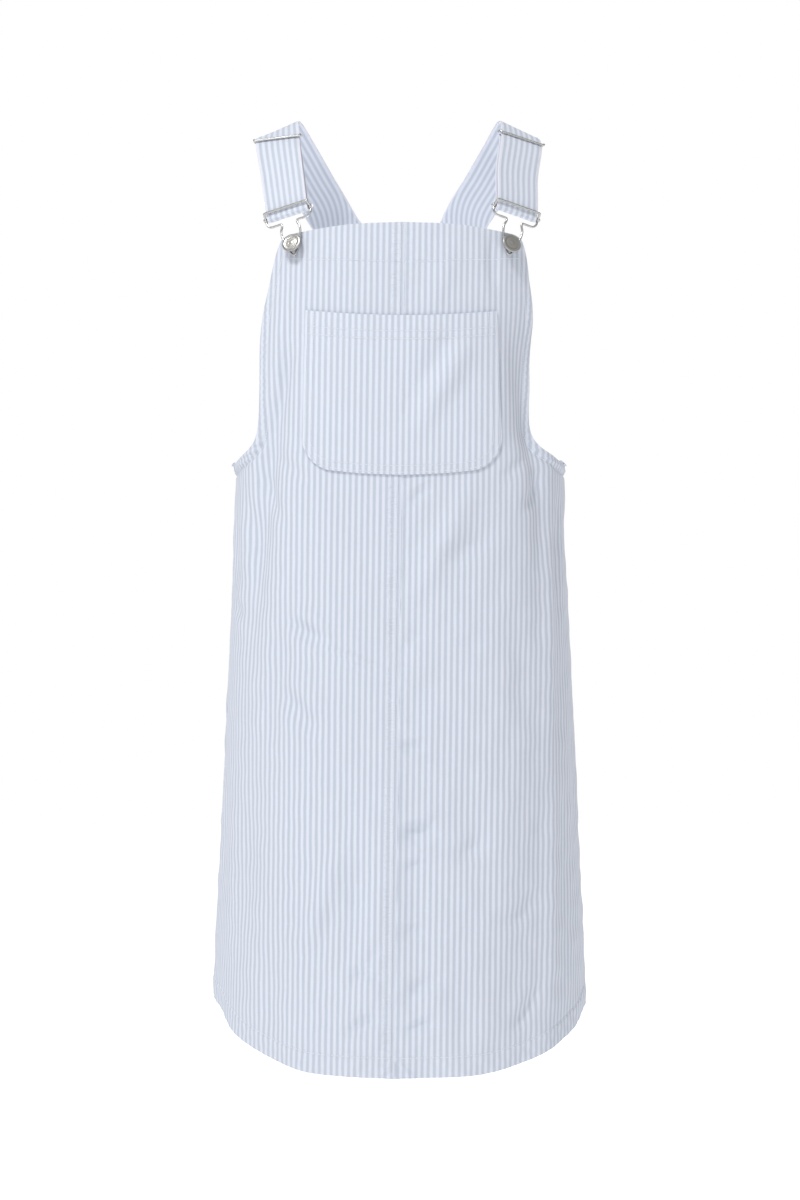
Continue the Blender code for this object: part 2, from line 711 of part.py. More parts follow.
def buckle(side, made_of):
    """The wire hook frame with its bar, whose ends stand out past the wire as knobs."""
    name = "buckle_left" if side < 0 else "buckle_right"
    frame = buckle_frame(side)
    half = list(BUCKLE_WIRE)
    ring = half + [BUCKLE_TIP] + [WirePoint(-p.across, p.up, p.out) for p in half[:0:-1]]
    wire = tube(name, [frame.place(*p) for p in ring], WIRE, 7, made_of)
    knob_in, knob_out = 22.2, 25.6
    half_bar = (
        Turned(BAR_RADIUS, -knob_in),
        Turned(BAR_KNOB_RADIUS, -knob_in - 0.1),
        Turned(BAR_KNOB_RADIUS, -knob_out),
    )
    profile = list(half_bar[::-1]) + [Turned(p.radius, -p.height) for p in half_bar]
    bar = turned(name + "_bar", profile, knob_out + 0.3, frame.origin, frame.across, 8, made_of)
    bar.hide_render = True
    bar.display_type = "WIRE"
    joined = wire.modifiers.new("bar", "BOOLEAN")
    joined.operation = "UNION"
    joined.solver = "EXACT"
    joined.object = bar
    return wire


def button(side, made_of):
    """A jeans button, whose shank stands in the buckle's eye, and its tack inside the bib."""
    foot, out = button_foot(side)
    name = "left" if side < 0 else "right"
    frame = buckle_frame(side)
    axis = frame.out + frame.up * math.tan(math.radians(BUTTON_NOD))
    turned("button_" + name, BUTTON_PROFILE, BUTTON_TOP, foot, axis, 20, made_of)
    inside = foot - out * (CLOTH + HEM_FOLD)
    turned("tack_" + name, TACK_PROFILE, TACK_TOP, inside, out, 12, made_of)


def main():
    clear_scene()
    cloth = material("striped_cotton", (0.66, 0.72, 0.82), 0.85, 0.0)
    strap_cloth = material("strap_cotton", (0.70, 0.73, 0.84), 0.85, 0.0)
    metal = material("nickel_wire", (0.62, 0.60, 0.55), 0.32, 1.0)
    cap = material("brushed_cap", (0.50, 0.49, 0.45), 0.45, 1.0)
    back_panel(cloth)
    bib_pocket(cloth)
    for side in (-1, 1):
        front_panel(side, cloth)
        strap(side, strap_cloth)
        slider(side, metal)
        buckle(side, metal)
        button(side, cap)


if __name__ == "__main__":
    main()
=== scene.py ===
"""The overall dress in striped cotton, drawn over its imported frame.

Sizes in the tables are in millimetres; a mesh is turned to metres when it is made. +Z is up, the front
faces -Y, and "left" is -X, as seen from the front.
"""

import math
from collections import namedtuple

import bmesh
import bpy
import numpy as np
from bpy.props import FloatProperty, FloatVectorProperty, PointerProperty
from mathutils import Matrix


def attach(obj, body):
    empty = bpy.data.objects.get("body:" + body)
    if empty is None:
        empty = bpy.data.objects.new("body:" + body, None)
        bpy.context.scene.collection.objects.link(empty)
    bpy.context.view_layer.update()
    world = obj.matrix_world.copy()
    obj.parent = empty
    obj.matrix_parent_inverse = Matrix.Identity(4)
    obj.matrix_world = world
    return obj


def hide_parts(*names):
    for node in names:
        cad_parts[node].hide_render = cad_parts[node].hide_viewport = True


bl_info = {
    "name": "Striped Overall Dress",
    "version": (1, 0, 0),
    "blender": (4, 5, 0),
    "location": "3D View > Sidebar > Dress",
    "description": "Draws a striped cotton overall dress with its pocket, straps and metal fittings",
    "category": "Object",
}

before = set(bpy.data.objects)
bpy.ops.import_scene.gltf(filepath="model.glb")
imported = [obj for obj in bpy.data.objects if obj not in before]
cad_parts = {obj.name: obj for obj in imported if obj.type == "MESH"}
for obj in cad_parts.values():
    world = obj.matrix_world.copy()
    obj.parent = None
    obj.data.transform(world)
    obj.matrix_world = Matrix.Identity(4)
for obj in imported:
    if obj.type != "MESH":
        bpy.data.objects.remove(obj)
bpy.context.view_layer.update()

MM = 0.001
UNDERARM_Z = -329
SEAM_X_TOP = 5.4
SEAM_X_HEM = -4.8
BACK_BIB_Z = -130
GAP = 0.3
STRAP_CLOTH = 2.2
SKIRT_LENGTH = 560
BACK_BIB_HEM = 22

# ---------------------------------------------------------------- the form that the CAD solids have
Section = namedtuple("Section", "z centre half_width front back power_left power_right power_back")
SECTIONS = (
    Section(-915, 0.0, 181.0, 153, 136, 2.1, 2.5, 2.2),
    Section(-855, 0.0, 181.5, 153, 134, 2.1, 2.5, 2.2),
    Section(-800, 0.0, 180.6, 151, 131, 2.1, 2.6, 2.2),
    Section(-690, 0.0, 175.7, 147, 124, 2.2, 2.7, 2.2),
    Section(-580, 0.0, 171.0, 141, 116, 2.4, 2.8, 2.2),
    Section(-460, 0.0, 165.0, 134, 108, 2.6, 2.9, 2.3),
    Section(-360, -0.9, 160.6, 125, 104, 2.7, 2.9, 2.4),
    Section(-329, -0.5, 160.0, 121, 104, 2.7, 2.8, 2.4),
    Section(-260, -0.5, 157.0, 114, 105, 2.6, 2.6, 2.4),
    Section(-200, -1.3, 154.0, 107, 105, 2.5, 2.5, 2.4),
    Section(-150, 0.3, 151.0, 100, 103, 2.4, 2.4, 2.4),
    Section(-98, 2.4, 148.0, 93, 99, 2.4, 2.4, 2.4),
    Section(-40, 2.4, 146.0, 86, 93, 2.4, 2.4, 2.4),
)
Edge = namedtuple("Edge", "z half")
FRONT_EDGE = (
    Edge(-329.0, 160.0),
    Edge(-328.3, 159.2),
    Edge(-325.8, 156.0),
    Edge(-321.0, 150.5),
    Edge(-313.5, 142.8),
    Edge(-304.0, 138.0),
    Edge(-291.0, 135.6),
    Edge(-273.0, 134.3),
    Edge(-250.0, 133.5),
    Edge(-225.0, 133.0),
    Edge(-200.0, 131.6),
    Edge(-176.0, 128.8),
    Edge(-154.0, 125.7),
    Edge(-134.0, 122.5),
    Edge(-120.0, 119.2),
    Edge(-111.5, 115.0),
    Edge(-107.5, 108.5),
)
BACK_EDGE = (
    Edge(-329.0, 160.0),
    Edge(-328.0, 158.6),
    Edge(-324.0, 153.0),
    Edge(-316.0, 143.5),
    Edge(-304.0, 134.5),
    Edge(-288.0, 125.0),
    Edge(-268.0, 114.0),
    Edge(-246.0, 103.5),
    Edge(-222.0, 94.5),
    Edge(-198.0, 87.5),
    Edge(-174.0, 82.0),
    Edge(-152.0, 78.6),
    Edge(-130.0, 77.0),
)
HemPoint = namedtuple("HemPoint", "share z")
HEM = (
    HemPoint(0.00, -910.3),
    HemPoint(0.27, -907.8),
    HemPoint(0.42, -900.8),
    HemPoint(0.59, -886.3),
    HemPoint(0.73, -870.4),
    HemPoint(0.84, -855.5),
    HemPoint(0.93, -848.5),
    HemPoint(1.00, -846.5),
)
BibPoint = namedtuple("BibPoint", "share z")
BIB_TOP = (BibPoint(0.0, -97.6), BibPoint(0.4, -99.0), BibPoint(0.8, -104.2), BibPoint(1.0, -107.5))
Fold = namedtuple("Fold", "panel top_z bottom_z top middle bottom width depth")
FOLDS = (
    Fold("front_left", -170, -560, 98, 141, 156, 16, 11.0),
    Fold("front_right", -165, -500, 98, 140, 152, 15, 8.0),
    Fold("front_right", -520, -980, 10, 17, 24, 13, 4.0),
    Fold("front_left", -560, -1010, 40, 52, 60, 24, 3.0),
    Fold("front_right", -600, -1010, 112, 120, 128, 26, 3.0),
    Fold("front_right", -310, -400, 215, 215, 215, 30, -3.0),
    Fold("back_left", -235, -560, 105, 132, 146, 17, 8.0),
    Fold("back_right", -225, -590, 100, 128, 150, 18, 9.0),
    Fold("back_left", -560, -1030, 62, 74, 86, 26, 4.5),
    Fold("back_right", -500, -1030, 30, 46, 58, 22, 4.0),
)

# Small creases in the cloth, on top of the large folds, each from one end (run, z) to the other.
# A negative depth is a ridge.
Crease = namedtuple("Crease", "run_a z_a run_b z_b width depth")
CREASES = {
    "front_left": (
        # front, under and beside the left armhole
        Crease(128, -318, 84, -352, 7, 3.0),
        Crease(150, -336, 112, -392, 8, 4.0),
        Crease(172, -345, 150, -430, 10, 4.0),
        Crease(196, -350, 190, -455, 12, 4.0),
        Crease(130, -298, 106, -206, 7, 4.5),
        Crease(122, -262, 112, -176, 6, 3.0),
        Crease(110, -470, 128, -600, 13, 4.0),
        Crease(196, -462, 172, -476, 8, 4.0),
        # front left, down the skirt
        Crease(112, -478, 66, -504, 8, 6.5),
        Crease(84, -498, 14, -528, 4, -3.0),
        Crease(116, -544, 76, -588, 10, 7.0),
        Crease(60, -700, 74, -820, 16, 4.0),
        Crease(54, -690, 88, -790, 13, -8.0),
        Crease(34, -700, 44, -810, 12, 7.0),
        Crease(50, -836, 10, -778, 7, 4.4),
        Crease(52, -874, 14, -850, 8, 6.0),
        Crease(40, -812, 8, -816, 5, 3.0),
        Crease(150, -640, 168, -800, 18, 4.0),
        Crease(120, -780, 132, -900, 15, 3.6),
        Crease(205, -610, 214, -760, 14, 3.6),
        # the bib
        Crease(20, -160, 74, -142, 9, 1.8),
    ),
    "front_right": (
        # front, under and beside the right armhole
        Crease(130, -320, 92, -348, 7, 3.0),
        Crease(150, -338, 118, -380, 8, 4.2),
        Crease(156, -340, 153, -620, 11, -6.0),
        Crease(160, -580, 160, -880, 12, -5.0),
        Crease(178, -350, 172, -480, 9, 4.6),
        Crease(112, -470, 124, -590, 13, 3.4),
        # front right, from the pocket and small dents beside the centre seam
        Crease(66, -206, 8, -304, 13, -5.5),
        Crease(52, -196, 14, -262, 12, 3.0),
        Crease(72, -346, 14, -462, 14, -5.5),
        Crease(6, -368, 30, -350, 6, 4.0),
        Crease(40, -424, 90, -398, 12, 3.4),
        Crease(4, -500, 24, -488, 8, 2.8),
        Crease(8, -560, 60, -520, 12, 3.2),
        Crease(2, -598, 28, -600, 8.5, 5.6),
        Crease(6, -668, 40, -660, 6, -3.0),
        Crease(2, -681, 38, -678, 10, 7.2),
        Crease(50, -706, 84, -690, 10, 4.4),
        Crease(6, -714, 28, -706, 6, 4.0),
        Crease(4, -775, 28, -770, 7.5, 4.6),
        Crease(6, -838, 44, -812, 9, 6.0),
        Crease(8, -868, 40, -852, 6, 4.6),
        # front right, down the skirt
        Crease(70, -620, 82, -760, 18, 3.6),
        Crease(60, -800, 66, -900, 14, 3.0),
        Crease(112, -770, 140, -735, 9, 4.0),
        Crease(112, -872, 150, -820, 7, 4.4),
        Crease(205, -560, 216, -720, 14, 3.6),
        # the bib
        Crease(20, -190, 52, -120, 12, -2.4),
        Crease(84, -104, 88, -170, 7, 3.0),
    ),
    "back_left": (
        Crease(118, -318, 82, -362, 8, 3.2),
        Crease(150, -344, 128, -420, 10, 4.0),
        Crease(30, -420, 44, -560, 16, 3.6),
        Crease(90, -430, 52, -470, 8, 3.6),
        Crease(130, -650, 146, -820, 18, 4.2),
        Crease(24, -700, 30, -880, 16, 3.4),
        Crease(180, -600, 190, -760, 15, 3.6),
    ),
    "back_right": (
        Crease(122, -322, 90, -358, 8, 3.0),
        Crease(152, -342, 132, -430, 10, 4.2),
        Crease(70, -430, 78, -600, 18, 4.0),
        Crease(20, -300, 60, -268, 10, 3.2),
        Crease(8, -760, 50, -734, 9, 3.8),
        Crease(112, -680, 124, -860, 18, 4.2),
        Crease(184, -560, 192, -700, 14, 3.4),
    ),
}

POCKET_TOP_LEFT = 95
POCKET_TOP_RIGHT = 90
POCKET_BOTTOM_HALF = 97
POCKET_TOP_Z = -188
POCKET_TOP_RISE = 6
POCKET_BOTTOM_Z = -341
POCKET_BOTTOM_RISE = 9
POCKET_CORNER = 29
POCKET_HEIGHT = POCKET_TOP_Z - POCKET_BOTTOM_Z
POCKET_MOUTH_HEM = 24
POCKET_STANDOFF = 1.75
POCKET_CLOTH = 1.2
POCKET_CLOTH_TURNED = 1.5
POCKET_EDGE_ROWS = (2.2, 8.6)
POCKET_MOUTH_ROWS = (15.5, 23.0)

Station = namedtuple("Station", "across y z width tilt yaw")
STRAP_FREE = {
    -1: (
        Station(64.5, 92.5, -80, 46.5, 28, -12),
        Station(88.0, 74.0, -42, 46.0, 28, -2),
        Station(106.5, 44.0, -11, 44.5, 26, 6),
        Station(118.6, 8.0, 4.6, 43.5, 23, 9),
        Station(119.4, -20.0, -9.4, 43.5, 4, 6),
        Station(114.4, -47.0, -44, 43.0, 11, 15),
    ),
    1: (
        Station(64.5, 92.5, -80, 46.5, 28, -12),
        Station(88.0, 74.0, -42, 46.0, 28, -2),
        Station(106.5, 44.0, -11, 44.5, 26, 8),
        Station(117.4, 8.0, 4.6, 43.5, 23, 15),
        Station(119.8, -20.0, -9.4, 43.0, 12, 18),
        Station(115.2, -47.0, -44, 43.0, 13, 20),
    ),
}
Sewn = namedtuple("Sewn", "across z width tilt")
STRAP_SEWN_ON = (Sewn(45.0, -152, 60, 12), Sewn(46.5, -130, 57, 16), Sewn(53.0, -105, 51, 24))
SLIDER_KNOT = 4
SLIDER_HALF_HEIGHT = 5
SLIDER_CORNER = 2
STRIPE_BEND_END = 120.0  # the stripes have turned along the strap by this distance from its sewn end
STRAP_FLATNESS = 0.22    # the less, the flatter the strap's faces
STRAP_EDGE = 0.55
STRAP_MARGIN = 2.6       # from a strap's edge to its stitching

BUTTON_ACROSS = 103
BUTTON_SHIFT = 2.0
BUTTON_Z = -119.5
BUTTON_NOD = 8
Pose = namedtuple("Pose", "roll turn lean lift bar_up")
BUCKLE_POSE = {-1: Pose(15.4, 8.6, 10.0, 4.3, 35.2), 1: Pose(16.2, 7.6, 9.6, 4.1, 36.2)}
TURN_RADIUS = 2.6
WIRE = 1.1
WirePoint = namedtuple("WirePoint", "across up out")
BUCKLE_WIRE = (
    WirePoint(0.0, 4.6, 5.6),
    WirePoint(20.4, 4.6, 5.6),
    WirePoint(22.6, 3.6, 4.9),
    WirePoint(23.2, 1.4, 2.4),
    WirePoint(23.2, -1.5, 0.0),
    WirePoint(23.0, -5.0, 0.0),
    WirePoint(21.2, -8.0, 0.0),
    WirePoint(18.2, -9.2, 0.0),
    WirePoint(9.6, -9.2, 0.0),
    WirePoint(8.1, -10.4, 0.0),
    WirePoint(8.4, -13.0, 0.0),
    WirePoint(9.9, -17.5, 0.0),
    WirePoint(9.4, -24.0, 0.0),
    WirePoint(7.6, -31.0, 0.0),
    WirePoint(5.2, -38.0, 0.0),
    WirePoint(2.2, -43.6, 0.0),
)
BUCKLE_TIP = WirePoint(0.0, -45.4, 0.0)
Turned = namedtuple("Turned", "radius height")
BUTTON_CAP = (
    Turned(2.6, 1.3),
    Turned(2.5, 3.6),
    Turned(2.6, 6.0),
    Turned(5.0, 6.2),
    Turned(8.6, 6.2),
    Turned(9.3, 6.4),
    Turned(9.7, 6.9),
    Turned(9.75, 7.3),
    Turned(9.5, 7.8),
    Turned(9.0, 8.2),
    Turned(8.4, 8.45),
    Turned(7.6, 8.5),
    Turned(7.1, 8.4),
    Turned(6.7, 8.2),
    Turned(6.2, 8.15),
    Turned(5.2, 8.3),
    Turned(4.0, 8.5),
    Turned(2.8, 8.65),
    Turned(2.3, 8.6),
    Turned(1.9, 8.75),
    Turned(1.0, 8.95),
)
BUTTON_TOP = 9.0
BAR_TOP = 25.7
BAR_ROD = (
    Turned(1.6, -25.6),
    Turned(2.0, -25.1),
    Turned(2.05, -23.8),
    Turned(1.9, -22.6),
    Turned(1.2, -22.0),
    Turned(1.1, -21.0),
)
THREAD_LIFT = 0.12
# along a stitch as a share of its length, thickness as a share, and height over the cloth
STITCH_RINGS = ((-0.5, 0.35, -0.2), (-0.25, 1.0, 0.12), (0.25, 1.0, 0.12), (0.5, 0.35, -0.2))

# ---------------------------------------------------------------- the studio, in metres and watts
FLOOR_RADIUS = 9
FLOOR_Z = -1.3
FOCAL_PIXELS = 3242
PHOTO_HEIGHT_PIXELS = 1200
SENSOR_HEIGHT = 24.0
CAMERA_PLACE = (0.0005, -3.2, -0.460)
DRESS_MIDDLE = (0, 0, -0.45)
WORLD_SIDE = (-0.30, -0.84, 0.45)
Lamp = namedtuple("Lamp", "name place target size power")
LAMPS = (
    Lamp("key_light", (-1.35, -1.9, 3.0), DRESS_MIDDLE, 0.8, 84),
    Lamp("fill_light", (-0.3, -4.0, -0.9), DRESS_MIDDLE, 2.2, 16),
    Lamp("back_light", (1.3, 2.8, 1.2), DRESS_MIDDLE, 1.8, 20),
    Lamp("inner_light", (0, -0.02, -0.36), (0, 0.03, 0), 0.16, 0.3),
)

# ---------------------------------------------------------------- mesh density
HEM_ROWS = 26            # in the lowest HEM_BAND of the skirt
HEM_BAND = 26
SEAM_COLUMNS = 20        # in the SEAM_BAND beside the front's centre seam
SEAM_BAND = 15
Density = namedtuple("Density", "skirt_rows bib_rows columns")
DENSITY = {"front": Density(205, 135, 78), "back": Density(150, 66, 70)}
LEVEL_STEP = 4.0
SECTION_STEPS = 240
POCKET_ROWS = 71
POCKET_COLUMNS = 97
STRAP_STEPS = 150
STRAP_TURN_STEPS = 15
STRAP_RETURN_STEPS = 40
STRAP_SIDES = 36


# ---------------------------------------------------------------- curves and form
class Curve:
    """A smooth curve through two columns of a table."""

    def __init__(self, at, value):
        order = np.argsort(at)
        self.at, self.value = np.array(at, float)[order], np.array(value, float)[order]
        steps = np.diff(self.value) / np.diff(self.at)
        both = steps[:-1] * steps[1:]
        total = steps[:-1] + steps[1:]
        inner = np.where(both > 0, 2 * both / np.where(both > 0, total, 1), 0)
        self.slope = np.concatenate([steps[:1], inner, steps[-1:]])

    @classmethod
    def of(cls, rows, key, column):
        return cls([getattr(row, key) for row in rows], [getattr(row, column) for row in rows])

    def __call__(self, at):
        at = np.clip(at, self.at[0], self.at[-1])
        i = np.clip(np.searchsorted(self.at, at, side="right") - 1, 0, len(self.at) - 2)
        span = self.at[i + 1] - self.at[i]
        t = (at - self.at[i]) / span
        out, into = self.slope[i] * span, self.slope[i + 1] * span
        start = self.value[i] * (1 + 2 * t) * (1 - t) ** 2 + out * t * (1 - t) ** 2
        return start + self.value[i + 1] * t * t * (3 - 2 * t) + into * t * t * (t - 1)


SIZE = {name: Curve.of(SECTIONS, "z", name) for name in Section._fields[1:]}
HEM_Z = Curve.of(HEM, "share", "z")
BIB_TOP_Z = Curve.of(BIB_TOP, "share", "z")


def smooth(low, high, value):
    t = np.clip((value - low) / (high - low), 0, 1)
    return t * t * (3 - 2 * t)


def unit(vectors):
    return vectors / np.linalg.norm(vectors, axis=-1, keepdims=True)


def sided(stem, side):
    return stem + ("_left" if side < 0 else "_right")


def seam_x(z):
    share = (z - BIB_TOP[0].z) / (HEM[0].z - BIB_TOP[0].z)
    return SEAM_X_TOP + (SEAM_X_HEM - SEAM_X_TOP) * share


def quarter(z, face, side):
    """One quarter of a section, from the middle to the side, as points (x, y)."""
    power = SIZE["power_back" if face == "back" else sided("power", side)](z)
    depth = SIZE[face](z) * (1 if face == "back" else -1)
    angle = np.linspace(0, math.pi / 2, SECTION_STEPS)
    x = SIZE["centre"](z) + side * SIZE["half_width"](z) * np.sin(angle) ** (2 / power)
    y = depth * np.cos(angle) ** (2 / power)
    return np.stack([x, y], axis=1)


class Form:
    """The outside of a quarter of the dress, by distance round the cloth from its centre line and height."""

    def __init__(self, face, side):
        self.face, self.side = face, side
        self.levels = np.arange(-960.0, -32.0, LEVEL_STEP)
        self.shares = np.linspace(-0.25, 1.0, 401)
        self.length = np.empty(len(self.levels))
        self.place = np.empty((len(self.levels), len(self.shares), 2))
        for k, z in enumerate(self.levels):
            other = quarter(z, face, -side)[: SECTION_STEPS // 3][::-1]
            line = np.concatenate([other, quarter(z, face, side)[1:]])
            run = np.concatenate([[0], np.cumsum(np.linalg.norm(np.diff(line, axis=0), axis=1))])
            middle = seam_x(z) if face == "front" else SIZE["centre"](z)
            run -= np.interp(side * middle, side * line[:, 0], run)
            self.length[k] = run[-1]
            at = self.shares * run[-1]
            self.place[k, :, 0] = np.interp(at, run, line[:, 0])
            self.place[k, :, 1] = np.interp(at, run, line[:, 1])
        along = unit(np.gradient(self.place, axis=1))
        turn = side * (-1 if face == "back" else 1)
        self.out = np.stack([along[:, :, 1], -along[:, :, 0]], axis=2) * turn

    def level(self, z):
        k = (z - self.levels[0]) / LEVEL_STEP
        low = np.clip(k.astype(int), 0, len(self.levels) - 2)
        return low, k - low

    def length_at(self, z):
        return np.interp(z, self.levels, self.length)

    def at(self, run, z):
        """(place, outward direction), each as x and y."""
        low, rise = self.level(z)
        step = self.shares[1] - self.shares[0]
        m = (run / self.length_at(z) - self.shares[0]) / step
        left = np.clip(m.astype(int), 0, len(self.shares) - 2)
        right = m - left
        weights = ((1 - rise) * (1 - right), (1 - rise) * right, rise * (1 - right), rise * right)
        corners = ((low, left), (low, left + 1), (low + 1, left), (low + 1, left + 1))
        place = sum(w[..., None] * self.place[k, j] for w, (k, j) in zip(weights, corners))
        out = sum(w[..., None] * self.out[k, j] for w, (k, j) in zip(weights, corners))
        return place, unit(out)

    def run_at(self, x, z):
        """Distance round the cloth of the point whose x is given."""
        low, rise = self.level(np.array(float(z)))
        row = self.place[low] * (1 - rise) + self.place[low + 1] * rise
        return np.interp(self.side * x, self.side * row[:, 0], self.shares * self.length_at(z))


FORMS = {(face, side): Form(face, side) for face in ("front", "back") for side in (-1, 1)}


def fold_depth(panel, run, z):
    """How far the large folds move a point inwards."""
    total = np.zeros(np.shape(run))
    for fold in FOLDS:
        if fold.panel != panel:
            continue
        t = np.clip((fold.top_z - z) / (fold.top_z - fold.bottom_z), 0, 1)
        centre = fold.top * (1 - t) * (1 - 2 * t) + fold.middle * 4 * t * (1 - t)
        centre = centre + fold.bottom * t * (2 * t - 1)
        total += fold.depth * np.sin(math.pi * t) ** 2 * np.exp(-(((run - centre) / fold.width) ** 2))
    return total


def surface(face, side, run, z, out=0.0):
    """Points of the form with its large folds, moved out: the outside of the CAD solids."""
    run, z = np.broadcast_arrays(np.asarray(run, float), np.asarray(z, float))
    place, outward = FORMS[face, side].at(run, z)
    flat = place + outward * (out - fold_depth(sided(face, side), run, z))[..., None]
    return np.concatenate([flat, z[..., None]], axis=-1)


# ---------------------------------------------------------------- a cloth panel with its small relief
class Panel:
    """Half of the front or of the back, with the small relief of its cloth."""

    def __init__(self, face, side):
        self.face, self.side = face, side
        self.name = sided(face, side)
        self.form = FORMS[face, side]
        table = FRONT_EDGE if face == "front" else BACK_EDGE
        self.top = BIB_TOP_Z if face == "front" else lambda share: np.full(np.shape(share), float(BACK_BIB_Z))
        runs = [self.form.run_at(SIZE["centre"](row.z) + side * row.half, row.z) for row in table]
        runs[0] = self.form.length_at(table[0].z)
        heights = [row.z for row in table]
        chord = np.concatenate([[0], np.cumsum(np.hypot(np.diff(runs), np.diff(heights)))])
        self.edge_run = Curve(chord / chord[-1], runs)
        self.edge_z = Curve(chord / chord[-1], heights)
        at = np.linspace(0, 1, 160)
        self.edge = np.stack([self.edge_run(at), self.edge_z(at)], axis=1)

    def grid(self):
        """(run, z) over the whole half panel, rows from the hem up."""
        density = DENSITY[self.face]
        t = np.linspace(0, 1, density.columns + 1)
        share = t * (1.2 - 0.2 * t)
        if self.face == "front":
            band = SEAM_BAND / self.form.length_at(-600.0)
            beside = np.linspace(0, band, SEAM_COLUMNS, endpoint=False)
            share = np.concatenate([beside, band + (1 - band) * share])
        low = HEM_Z(share)
        band = HEM_BAND / SKIRT_LENGTH
        hem_rows = np.linspace(0, band, HEM_ROWS, endpoint=False)
        up = np.concatenate([hem_rows, np.linspace(band, 1, density.skirt_rows + 1)])
        z = low + (UNDERARM_Z - low) * up[:, None]
        run = share * self.form.length_at(z)
        rise = np.linspace(0, 1, density.bib_rows + 1)[1:, None]
        middle = UNDERARM_Z + (self.top(0.0) - UNDERARM_Z) * rise
        bow = self.top(share) - self.top(0.0) - (self.top(1.0) - self.top(0.0)) * share
        bib_z = middle + (self.edge_z(rise) - middle) * share + bow * rise
        bib_run = share * self.edge_run(rise)
        return np.concatenate([run, bib_run]), np.concatenate([z, bib_z])

    def from_edge(self, run, z):
        """Distance of points from the armhole edge, measured in the flat cloth."""
        distance = np.full(np.shape(run), 99.0)
        near = (z > UNDERARM_Z - 40) & (run > 50)
        points = np.stack([run[near], z[near]], axis=-1)
        start, step = self.edge[:-1], np.diff(self.edge, axis=0)
        if len(points):
            offset = points[:, None] - start
            t = np.clip((offset * step).sum(-1) / (step**2).sum(-1), 0, 1)
            distance[near] = np.linalg.norm(offset - step * t[..., None], axis=-1).min(axis=1)
        return distance

    def creased(self, run, z):
        """How far the creases and the hollow beside the right armhole move a point outwards."""
        out = np.zeros(np.shape(run))
        for crease in CREASES[self.name]:
            step = np.array([crease.run_b - crease.run_a, crease.z_b - crease.z_a], float)
            offset = np.stack([run - crease.run_a, z - crease.z_a], axis=-1)
            t = (offset @ step) / (step @ step)
            q = (offset @ np.array([-step[1], step[0]])) / np.hypot(*step) / crease.width
            fade = smooth(-0.1, 0.4, t) * (1 - smooth(0.6, 1.1, t))
            out -= crease.depth * fade * (np.exp(-(q**2)) - 0.45 * np.exp(-((q / 2.1) ** 2)))
        if self.name == "front_right":
            tall = smooth(-338, -290, z) * (1 - smooth(-235, -170, z))
            out -= tall * (7.0 * smooth(92, 128, run) + 3.0 * smooth(118, 140, run))
        return out

    def relief(self, run, z):
        """How far the small relief moves a point outwards."""
        out = self.creased(run, z)
        share = run / self.form.length_at(z)
        low = HEM_Z(np.clip(share, 0, 1))
        skirt = smooth(-330, -520, z)
        turn = 0.7 if self.side < 0 else 2.9
        turn += 1.3 if self.face == "back" else 0.0
        out += skirt * 0.7 * np.sin(run / 17 + z / 160 + turn) * np.sin(z / 95 + turn * 2)
        out += skirt * 0.9 * np.sin(run / 31 - z / 240 + turn * 3) * smooth(-520, -880, z)
        out += (0.3 + 0.7 * skirt) * self.rumple(run, z, turn)
        above = z - low
        roping = np.sin((run + above * 0.8) / 2.1 + 0.6 * np.sin(run / 9))
        out += (0.3 + 0.3 * np.exp(-((run / 45) ** 2))) * roping * (1 - smooth(12, 24, above))
        out += 0.5 * (1 - smooth(18.2, 20.2, above)) - 0.55 * np.exp(-(((above - 19) / 1.1) ** 2))
        hem_wave = np.sin(run / 13 + turn) + 0.6 * np.sin(run / 7.3 + turn * 2)
        out += 0.9 * hem_wave * (1 - smooth(0, 44, above))
        out += self.seam_relief(run, z)
        out += self.armhole_relief(run, z)
        return out

    def rumple(self, run, z, turn):
        """Soft unevenness of worn cloth, stronger beside the seam above the hem."""
        broad = np.sin(run / 6.3 - z / 8.1 + turn + 1.4 * np.sin(z / 47)) * np.sin(run / 23 + z / 19 + turn)
        broad = 0.42 * broad + 0.3 * np.sin(run / 11 + z / 5.7 + 2 * turn) * np.sin(run / 15 - z / 33)
        if self.face == "back":
            return broad
        near = np.exp(-(((run - 18) / 24) ** 2)) * (1 - smooth(-845, -775, z))
        return broad + 0.55 * near * np.sin(z / 3.4 + run / 8 + turn) * np.sin(run / 7 - z / 21)

    def seam_relief(self, run, z):
        """The felled centre-front seam, whose allowance lies under the left piece, with its pucker."""
        if self.face == "back":
            return 0.0
        strong = 0.55 + 0.45 * np.sin(z / 31 + 1.2 * np.sin(z / 57))
        if self.side > 0:
            sunk = -0.2 * np.exp(-((run / 1.6) ** 2)) - 0.15 * np.exp(-(((run - 4) / 5) ** 2))
            beside = np.exp(-(((run - 4) / 4.5) ** 2))
            return sunk + 0.3 * strong * np.sin(z / 2.1 + np.sin(z / 17)) * beside
        felled = 0.25 * (1 - smooth(10.8, 12.4, run))
        rows = -0.35 * np.exp(-(((run - 3.2) / 0.9) ** 2)) - 0.45 * np.exp(-(((run - 10.6) / 1.0) ** 2))
        beside = np.exp(-(((run - 9.5) / 2.6) ** 2))
        return felled + rows + 0.4 * strong * np.sin(z / 1.7 + 0.8 * np.sin(z / 11)) * beside

